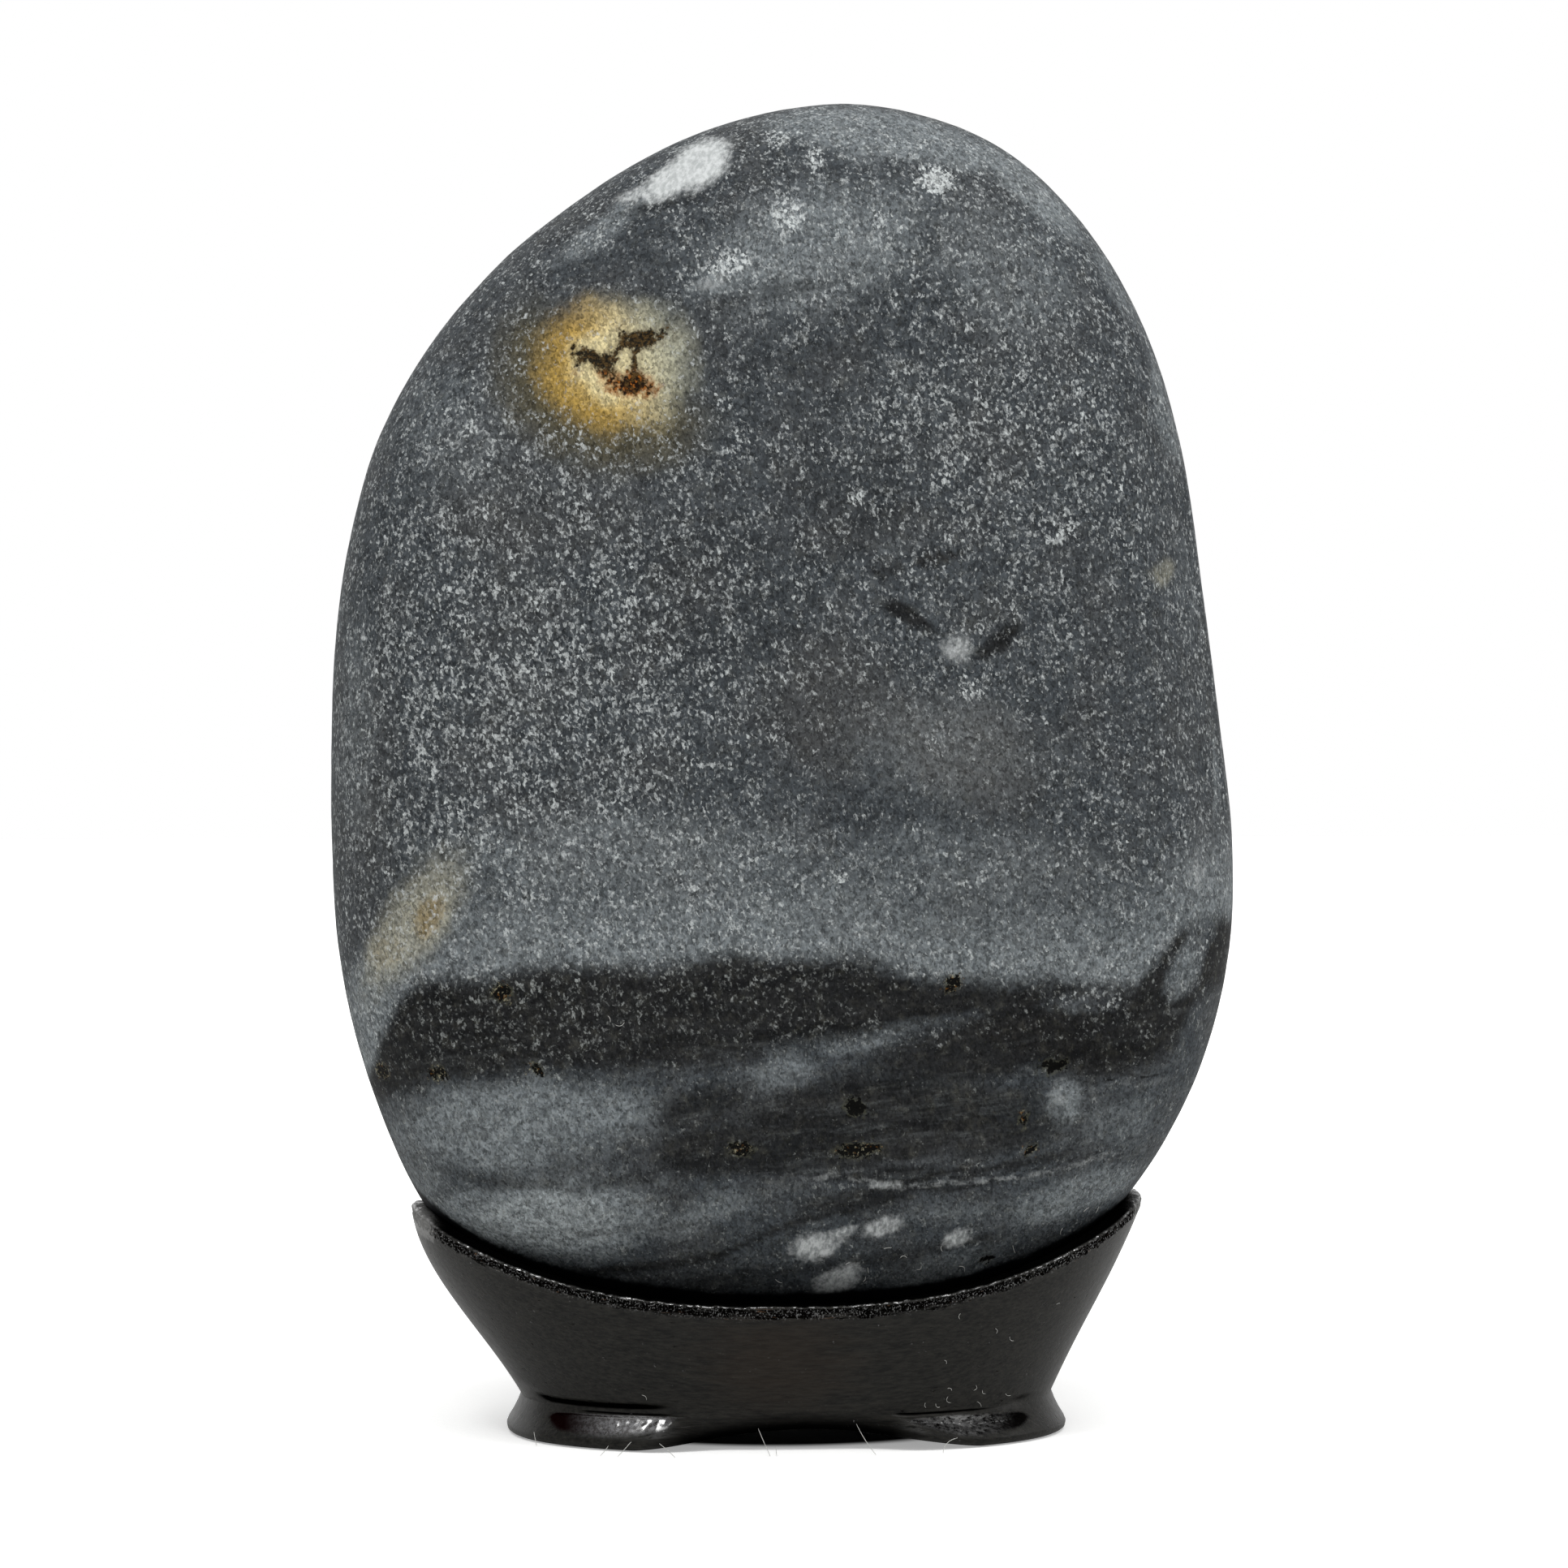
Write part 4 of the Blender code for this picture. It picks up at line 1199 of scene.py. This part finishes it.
def seat_rings():
    """Rings from the foot of the inner wall to the middle of the seat."""
    edge = wall_ring(RIM - CREVICE_DEPTH, RIM_THICKNESS)
    rings = []
    for share in np.linspace(1.0, 0.0, SEAT_RINGS + 1)[:-1]:
        x, y = edge[:, 0] * share, edge[:, 1] * share
        ledge = rim_height(x) - CREVICE_DEPTH
        bowl = stone_underside(x, y) - SEAT_CLEARANCE
        rings.append(np.column_stack([x, y, np.minimum(ledge, bowl)]))
    return rings


# %% The whole profile
LIP_HALF_WIDTH = 1.05
LIP_SQUARENESS = 0.55        # 1 is half round; less is a flatter top with tighter corners
LIP_STEPS = 16
RIM_WEAR = 0.16
LIP_RISE = 0.42 + 0.55 * smooth_step(np.abs(wall_ring(RIM)[:, 0]), 35.0, 41.5)

UNDERSIDE_SHARES = (0.12, 0.3, 0.5, 0.7, 0.85, 0.95)
BOTTOM_BEVEL = ((0.9, 0.0), (0.45, 0.03), (0.18, 0.10), (0.05, 0.2))     # inset and lift
LOW_WALL = 6.0               # up to here the rings are close together, for the grooves
RIM_BAND = 2.2               # below the rim they close up again, for its wear
RIM_BAND_SHARES = (0.18, 0.34, 0.48, 0.6, 0.7, 0.79, 0.87, 0.94)
INNER_WALL_SHARES = (0.15, 0.4, 0.7, 0.92)

rings = []
for share in UNDERSIDE_SHARES:
    ring = foot_ring(0.0, inset=BOTTOM_BEVEL[0][0]) * (share, share, 1.0)
    ring[:, 2] = arch_height(ring[:, 0])
    rings.append(ring)
for inset, lift in BOTTOM_BEVEL:
    rings.append(foot_ring(lift, inset))
for level in np.arange(0.35, WAIST + 0.01, 0.158):
    rings.append(foot_ring(level))
for height in np.arange(WAIST + 0.12, LOW_WALL, 0.13):
    rings.append(wall_ring(np.full(AROUND_STEPS, height)))
for share in np.linspace(0.0, 1.0, 24) ** 0.9:
    rings.append(wall_ring(LOW_WALL + (RIM - RIM_BAND - LOW_WALL) * share))
for share in RIM_BAND_SHARES:
    rings.append(wall_ring(RIM - RIM_BAND + (RIM_BAND - LIP_RISE) * share))
for turn in np.linspace(0.0, np.pi, LIP_STEPS):
    run = np.sign(np.cos(turn)) * np.abs(np.cos(turn)) ** LIP_SQUARENESS
    ring = wall_ring(RIM - LIP_RISE, RIM_THICKNESS / 2 - LIP_HALF_WIDTH * run)
    ring[:, 2] += LIP_RISE * np.sin(turn) ** LIP_SQUARENESS
    rings.append(ring)
for share in INNER_WALL_SHARES:
    rings.append(wall_ring(RIM - LIP_RISE - (CREVICE_DEPTH - LIP_RISE) * share, RIM_THICKNESS))
rings += seat_rings()
rings = np.array(rings)
print("stand rings", rings.shape)

# %% Carving and wear
FOOT_TOP = 6.3               # the feet's cuts are all below this height
WALL_BOTTOM = 10.0           # and the rim's wear is all above this one
FRINGE_DROP = 0.85           # a worn line this far below the rim
FRINGE_HALF_WIDTH = 0.20

ring_x, ring_y, ring_z = rings[..., 0], rings[..., 1], rings[..., 2]
facing = np.stack([ACROSS / -WAIST_ENDS[0], ALONG / WAIST_HALF_DEPTH], axis=-1)
facing /= np.linalg.norm(facing, axis=-1, keepdims=True)
outer = np.zeros(rings.shape[:2])
outer[len(UNDERSIDE_SHARES):-(len(INNER_WALL_SHARES) + SEAT_RINGS)] = 1.0
on_toe = outer * (ring_z < FOOT_TOP)
gouge = gouge_cut(ring_x, ring_z) * on_toe
groove = groove_cut(ring_x, ring_z) * on_toe
flat_places = rings.reshape(-1, 3)
chatter = lattice_noise(flat_places, 0.70, 31).reshape(outer.shape)
chatter += 0.9 * lattice_noise(flat_places, 0.38, 32).reshape(outer.shape)
hand = lattice_noise(flat_places, 9.0, 33).reshape(outer.shape)
below_rim = np.broadcast_to(RIM, outer.shape) - ring_z
on_wall = outer * (ring_z > WALL_BOTTOM)
near_rim = on_wall * smooth_step(-below_rim, -1.6, -0.5)
stand_out = -GOUGE_DEPTH * gouge - groove + 0.06 * np.minimum(2.0 * gouge, 1.0) * chatter
stand_out += 0.10 * hand * outer * (1.0 - gouge)
stand_out += 0.10 * near_rim * chatter
fringe_cut = on_wall * np.exp(-(((below_rim - FRINGE_DROP) / FRINGE_HALF_WIDTH) ** 2))
stand_out -= 0.16 * fringe_cut * (0.8 + 0.6 * chatter)
rings[..., 0] += stand_out * facing[:, 0]
rings[..., 1] += stand_out * facing[:, 1]
rings[..., 2] += RIM_WEAR * near_rim * (0.6 * chatter + 0.4 * hand) - 0.05 * near_rim

# Past the lip's front edge everything faces up or inwards, and is painted black as shade. In the gouges
# a highlight is painted where they catch the light, brightest on the left.
LIP_START = len(rings) - SEAT_RINGS - len(INNER_WALL_SHARES) - LIP_STEPS
lip_top = np.zeros(outer.shape)
lip_top[LIP_START + 5:] = 1.0
lip_top[LIP_START + 4] = 0.5
GOUGE_HIGHLIGHTS = ((-16.2, 9.0, 4.4), (16.6, 5.2, 9.4))      # middle, reach to the left and to the right
gouge_highlight = np.zeros(outer.shape)
for highlight_x, left_reach, right_reach in GOUGE_HIGHLIGHTS:
    reach = np.where(ring_x < highlight_x, left_reach, right_reach)
    gouge_highlight = np.maximum(gouge_highlight, smooth_step(1.0 - np.abs(ring_x - highlight_x) / reach, 0.0, 0.9))

# Between the feet the wall turns under towards the arch and is lost in its own shade.
TUCK_REACH = 2.6
over_arch = ring_z - arch_height(ring_x)
between_feet = 1.0 - smooth_step(np.abs(ring_x), 11.0, 17.0)
tucked = outer * between_feet * smooth_step(-over_arch, -TUCK_REACH, -0.3)

# %% Closing the stand


def ring_triangles(ring_count, around):
    """Triangles between neighbouring rings, and fans to a pole before and after them all."""
    index = np.arange(ring_count * around).reshape(ring_count, around)
    right = np.roll(index, -1, axis=1)
    low, low_right, high, high_right = index[:-1], right[:-1], index[1:], right[1:]
    sides = np.concatenate([
        np.stack([low, low_right, high_right], -1).reshape(-1, 3),
        np.stack([low, high_right, high], -1).reshape(-1, 3),
    ])
    first, last = ring_count * around, ring_count * around + 1
    start = np.column_stack([right[0], index[0], np.full(around, first)])
    end = np.column_stack([index[-1], right[-1], np.full(around, last)])
    return np.concatenate([sides, start, end])


def middle(ring):
    """The point in the middle of a ring, which closes it as a pole."""
    return ring.mean(axis=0)


stand_points = np.concatenate([
    rings.reshape(-1, 3), [middle(rings[0]), middle(rings[-1])],
])
stand_triangles = ring_triangles(*rings.shape[:2])


def with_poles(values):
    return np.concatenate([values.ravel(), [0.0, 0.0]])


stand = mesh_from_triangles("stand_carving", stand_points, stand_triangles, {
    "gouge": with_poles(gouge),
    "groove": with_poles(groove / 0.4),
    "below_rim": with_poles(np.where(ring_z > WALL_BOTTOM, below_rim, 9.0)),
    "lip_top": with_poles(lip_top),
    "gouge_highlight": with_poles(gouge_highlight),
    "tip": with_poles(smooth_step(np.abs(ring_x), 38.2, 40.8)),
    "tucked": with_poles(tucked),
    "heel_sheen": with_poles(on_toe * smooth_step(-ring_x, 26.5, 30.0)),
})

# %% [markdown]
# ## Black lacquer
#
# The lacquer is thin over open-grained wood. Almost all that is seen of it is reflection, so
# its colour is near black and its gloss does the work: satin on the wall, glassy in the
# gouges, where it pooled over chattered tool marks, and broken into flecks along the rim.
# Some light and shade is painted into its colour as well: a painted highlight on the rim's
# crest, in the gouges and on the left heel, and painted shade, black, on the lip's top and
# inner side, in the grooves and where the wall tucks under the arch.
# The wood's pores run lengthwise in the block, so their noise is stretched along X.

# %% Lacquer on the wall and rim
LACQUER_DARK, LACQUER_LIGHT = rgb(0.0010, 0.0010, 0.0008), rgb(0.0190, 0.0180, 0.0150)
WORN_BROWN, BARE_WOOD = rgb(0.022, 0.013, 0.007), rgb(0.10, 0.055, 0.030)
FRINGE_BLACK = rgb(0.0006, 0.0005, 0.0004)
TIP_GREY, CREST_PAINTED_HIGHLIGHT = rgb(0.17, 0.17, 0.165), rgb(0.15, 0.15, 0.15)
WORN_MIDDLE = (-1.7, 10.12)          # the patch of wall where brown shows through, in X and Z
WORN_REACH = (17.0, 11.0)

lacquer, tree, shader = new_material("black_lacquer")
mm = millimetres(tree)
pore_mm = millimetres(tree, stretch=(0.14, 1.0, 1.0))
pores = eased(noise(pore_mm, 2.6, 3.0, 0.6), 0.60, 0.72)
brush = noise(pore_mm, 0.9, 5.0, 0.65)
hatch = noise(pore_mm, 3.2, 4.0, 0.75)
base = mixed(eased(brush * 0.25 + hatch * 0.75, 0.32, 0.68), LACQUER_DARK, LACQUER_LIGHT)
from_worn = length(put(tree, "ShaderNodeMapping", {
    "Vector": mm,
    "Location": (-WORN_MIDDLE[0] / WORN_REACH[0], 0.0, -WORN_MIDDLE[1] / WORN_REACH[1]),
    "Scale": (1.0 / WORN_REACH[0], 0.0, 1.0 / WORN_REACH[1]),
}).outputs[0])
worn = ragged(pore_mm, eased(from_worn, 1.1, 0.0), 0.9, 1.0, 0.25, 1.2)
base = mixed(worn * 0.45, base, WORN_BROWN)
below = field(tree, "below_rim")
edge_band = eased(below, 2.1, 0.9) * eased(below, 0.15, 0.40)
edge_flecks = ragged(pore_mm, edge_band, 1.9, 3.0, 0.46, 0.84)
base = mixed(edge_flecks * 0.9, base, FRINGE_BLACK)
bare = edge_band * eased(noise(pore_mm, 2.4, 2.0, 0.6), 0.66, 0.72)
base = mixed(bare * 0.6, base, BARE_WOOD)
tip = field(tree, "tip") * eased(below, 3.6, 1.6)
base = mixed(ragged(mm, tip, 2.2, 1.7, 0.25, 0.95) * 0.85, base, TIP_GREY)
crest = eased(below, 0.34, 0.14)
worn_runs = eased(noise(mm, 0.22, 4.0, 0.7), 0.40, 0.60) * 0.85 + 0.15
lip_top = field(tree, "lip_top") * (1.0 - tip)
crest_line = ragged(mm, crest, 1.9, 4.2, 0.72, 1.25) * worn_runs * (1.0 - lip_top)
# Painted highlight: the rim's crest is lighter grey, in broken runs, where its edge catches the light.
base = mixed(crest_line * 0.5, base, CREST_PAINTED_HIGHLIGHT)

# %% Lacquer in the gouges and on the heel
GOUGE_BLACK, GOUGE_RED = rgb(0.0016, 0.0014, 0.0014), rgb(0.0040, 0.0003, 0.0005)
GOUGE_HIGHLIGHT_DIM, GOUGE_HIGHLIGHT_BRIGHT = rgb(0.040, 0.040, 0.040), rgb(0.150, 0.150, 0.158)
HEEL_PAINTED_SHEEN, PAINTED_SHADE_BLACK = rgb(0.055, 0.055, 0.053), rgb(0.0006, 0.0006, 0.0006)

in_gouge = eased(field(tree, "gouge"), 0.02, 0.40)
gouge_highlight = in_gouge * field(tree, "gouge_highlight")
left_side = eased(along_x(mm), 2.0, -2.0)
tinted = ragged(mm, in_gouge, 0.8, 0.4, 0.3, 1.0)
base = mixed(tinted * 0.9, base, mixed(left_side, GOUGE_BLACK, GOUGE_RED))
# Painted highlight in the gouges: lighter grey where they catch the light, brighter on the left.
base = mixed(gouge_highlight * eased(noise(mm, 2.2, 3.0, 0.7), 0.42, 0.58), base,
             mixed(left_side, GOUGE_HIGHLIGHT_DIM, GOUGE_HIGHLIGHT_BRIGHT))
# Painted sheen: the end of the left toe is lighter grey where it catches the light.
heel_sheen = ragged(mm, field(tree, "heel_sheen"), 1.4, 0.7, 0.1, 1.0)
base = mixed(heel_sheen * 0.6, base, HEEL_PAINTED_SHEEN)
# Painted shade: the grooves, the lip's top and inner side, and the wall tucked under the arch are
# painted black.
painted_shade = strongest(eased(field(tree, "groove"), 0.1, 0.6), lip_top, field(tree, "tucked"))
base = mixed(painted_shade, base, PAINTED_SHADE_BLACK)

# %% Lacquer gloss
WALL_GLEAM = 0.17            # specular level of the satin wall
POOL_COAT_IOR = 2.5          # high, as a thick pool of lacquer glints more than one coat

bubbles = noise(millimetres(tree, stretch=(1.2, 1.0, 0.9)), 4.4, 2.0, 0.6)
dull = strongest(painted_shade, edge_flecks, in_gouge)
streaks = strongest(left_side, eased(hatch, 0.42, 0.58))
sparkle = edge_band * eased(bubbles, 0.55, 0.65)
skin_height = bubbles * (in_gouge * 5.0 + crest * 3.0) + brush * 1.6
skin_height -= pores * 0.7 + edge_flecks * 1.5
feed(shader, {
    "Base Color": base,
    "Roughness": brush * 0.20 + 0.28 + edge_flecks * 0.25,
    "Specular IOR Level": (1.0 - dull) * WALL_GLEAM,
    "Coat Weight": strongest(gouge_highlight * streaks, crest_line, sparkle * 0.6),
    "Coat Roughness": 0.16, "Coat IOR": POOL_COAT_IOR,
    "Normal": bumped(skin_height, 0.7, 0.00006),
})
stand.data.materials.append(lacquer)
print("lacquer nodes", len(tree.nodes))

# %% [markdown]
# ## Lint and dust
#
# White fibres have caught along the bottom of the stand, and shorter ones lie on the wall and
# on the foot of the stone. Each is a hair: a small round profile carried along a bent path,
# and narrowed to nothing at its ends. They are few and thin, but they give the eye its scale.

# %% Making hairs
HAIR_STATIONS = 9
HAIR_SIDES = 5
HAIR_SIDEWAYS = (0.31, 0.83, 0.46)       # along no hair's path, so each profile has a side


def hair_paths(hairs):
    """A quadratic Bezier through start, pull and end for each hair: an array of stations."""
    start, pull, end = (np.array([hair[part] for hair in hairs])[:, None, :] for part in range(3))
    t = np.linspace(0.0, 1.0, HAIR_STATIONS)[None, :, None]
    return (1.0 - t) ** 2 * start + 2.0 * t * (1.0 - t) * pull + t**2 * end


def make_hairs(name, hairs, radius):
    """Carries a small round profile along each path, thinning it towards both ends."""
    path = hair_paths(hairs)
    ahead = np.gradient(path, axis=1)
    ahead /= np.linalg.norm(ahead, axis=2, keepdims=True)
    side = np.cross(ahead, HAIR_SIDEWAYS)
    side /= np.linalg.norm(side, axis=2, keepdims=True)
    up = np.cross(side, ahead)
    t = np.linspace(0.06, 0.94, HAIR_STATIONS)
    thin = radius * np.sqrt(1.0 - (2.0 * t - 1.0) ** 6)
    angle = np.linspace(0.0, 2 * np.pi, HAIR_SIDES, endpoint=False)[:, None]
    ring = np.cos(angle) * side[:, :, None, :] + np.sin(angle) * up[:, :, None, :]
    body = path[:, :, None, :] + thin[:, None, None] * ring
    count = HAIR_STATIONS * HAIR_SIDES
    points = np.concatenate([
        body.reshape(len(hairs), count, 3), path[:, :1], path[:, -1:],
    ], axis=1)
    # The profile turns the other way round from the stand's rings, so its faces are turned over.
    one = ring_triangles(HAIR_STATIONS, HAIR_SIDES)[:, ::-1]
    step = (np.arange(len(hairs)) * (count + 2))[:, None, None]
    return mesh_from_triangles(name, points.reshape(-1, 3), (one + step).reshape(-1, 3))


def wall_front(x, z):
    """Where the front of the stand's wall is, along Y, at (x, z)."""
    left, right = LEFT_AT(z), RIGHT_AT(z)
    share = np.clip(np.abs(x - (left + right) / 2) / ((right - left) / 2), 0.0, 1.0)
    return -DEPTH_AT(z) * (1.0 - share**OVAL_FULLNESS) ** (1.0 / OVAL_FULLNESS)


def stone_front(x, z):
    return -half_thickness(x, z, FRONT_CROWN)


def lint_on(surface, places, reach, lift):
    """Short bent hairs lying on a surface at (x, z), each turned its own way."""
    x, z = np.array(places).T
    rng = np.random.default_rng(len(places))
    angle = rng.uniform(0.0, np.pi, len(x))
    reach = reach * rng.uniform(0.5, 1.0, len(x))
    bend = reach * rng.uniform(-0.8, 0.8, len(x))
    stations = []
    for along, over in ((-0.5, 0.0), (0.0, 1.0), (0.5, 0.0)):
        at_x = x + reach * along * np.cos(angle) - bend * over * np.sin(angle)
        at_z = z + reach * along * np.sin(angle) + bend * over * np.cos(angle)
        stations.append(np.column_stack([at_x, surface(at_x, at_z) - lift, at_z]))
    return np.stack(stations, axis=1)


# %% Where the hairs are
# Each hair at the foot of the stand: its start, the point that it is pulled to, and its end.
BASE_HAIRS = [
    ((-28.4, -12.0, 1.55), (-28.3, -12.4, 0.9), (-28.1, -12.6, 0.15)),
    ((-20.2, -18.2, 1.0), (-20.6, -18.9, 0.5), (-21.1, -19.2, 0.08)),
    ((-17.7, -18.7, 1.5), (-18.4, -19.4, 0.8), (-19.2, -19.9, 0.08)),
    ((-14.6, -19.4, 1.4), (-13.8, -20.2, 0.9), (-12.9, -20.8, 0.08)),
    ((-3.6, -17.9, 2.7), (-3.1, -19.4, 1.5), (-2.4, -20.4, 0.08)),
    ((-1.7, -18.9, 0.8), (-1.7, -19.6, 0.5), (-1.7, -20.2, 0.08)),
    ((7.3, -17.6, 3.1), (8.0, -19.4, 1.6), (9.3, -20.2, 0.08)),
    ((18.5, -18.0, 1.5), (16.9, -18.9, 1.3), (16.8, -19.4, 0.08)),
]
WALL_DUST = [
    (17.8, 6.6), (20.7, 6.6), (21.8, 6.0), (24.7, 5.4), (17.8, 5.4), (15.1, 4.9), (16.5, 4.8),
    (21.3, 4.6), (18.7, 15.2), (22.9, 13.2), (24.8, 12.1), (30.2, 15.7), (17.2, 9.9),
    (-16.2, 6.0),
]
STONE_DUST = [
    (-1.2, 18.8), (6.4, 20.8), (8.7, 20.0), (8.3, 18.9), (33.5, 26.1), (34.9, 25.9),
    (30.7, 23.7), (25.2, 21.9), (19.3, 19.8), (12.6, 21.4), (14.4, 20.2), (-20.1, 48.4),
    (-18.9, 47.9), (3.4, 21.6), (-12.5, 21.0), (10.8, 22.6), (16.9, 22.4),
]
LINT_SHADE, LINT_LIGHT = rgb(0.36, 0.36, 0.34), rgb(0.60, 0.60, 0.57)

wall_lint = make_hairs("wall_lint", lint_on(wall_front, WALL_DUST, 0.85, 0.10), 0.024)
stone_lint = make_hairs("stone_lint", lint_on(stone_front, STONE_DUST, 1.1, 0.04), 0.032)
base_lint = make_hairs("base_lint", BASE_HAIRS, 0.036)

lint_white, tree, shader = new_material("lint")
tint = noise(millimetres(tree), 1.5)
feed(shader, {"Base Color": mixed(tint, LINT_SHADE, LINT_LIGHT), "Roughness": tint * 0.2 + 0.6})
for lint in (base_lint, wall_lint, stone_lint):
    lint.data.materials.append(lint_white)

# %% Riding and replacing
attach(stone, "root")
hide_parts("stone")
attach(stand, "root")
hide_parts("stand")
for lint, slot in ((base_lint, "stand"), (wall_lint, "stand"), (stone_lint, "stone")):
    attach(lint, "root")
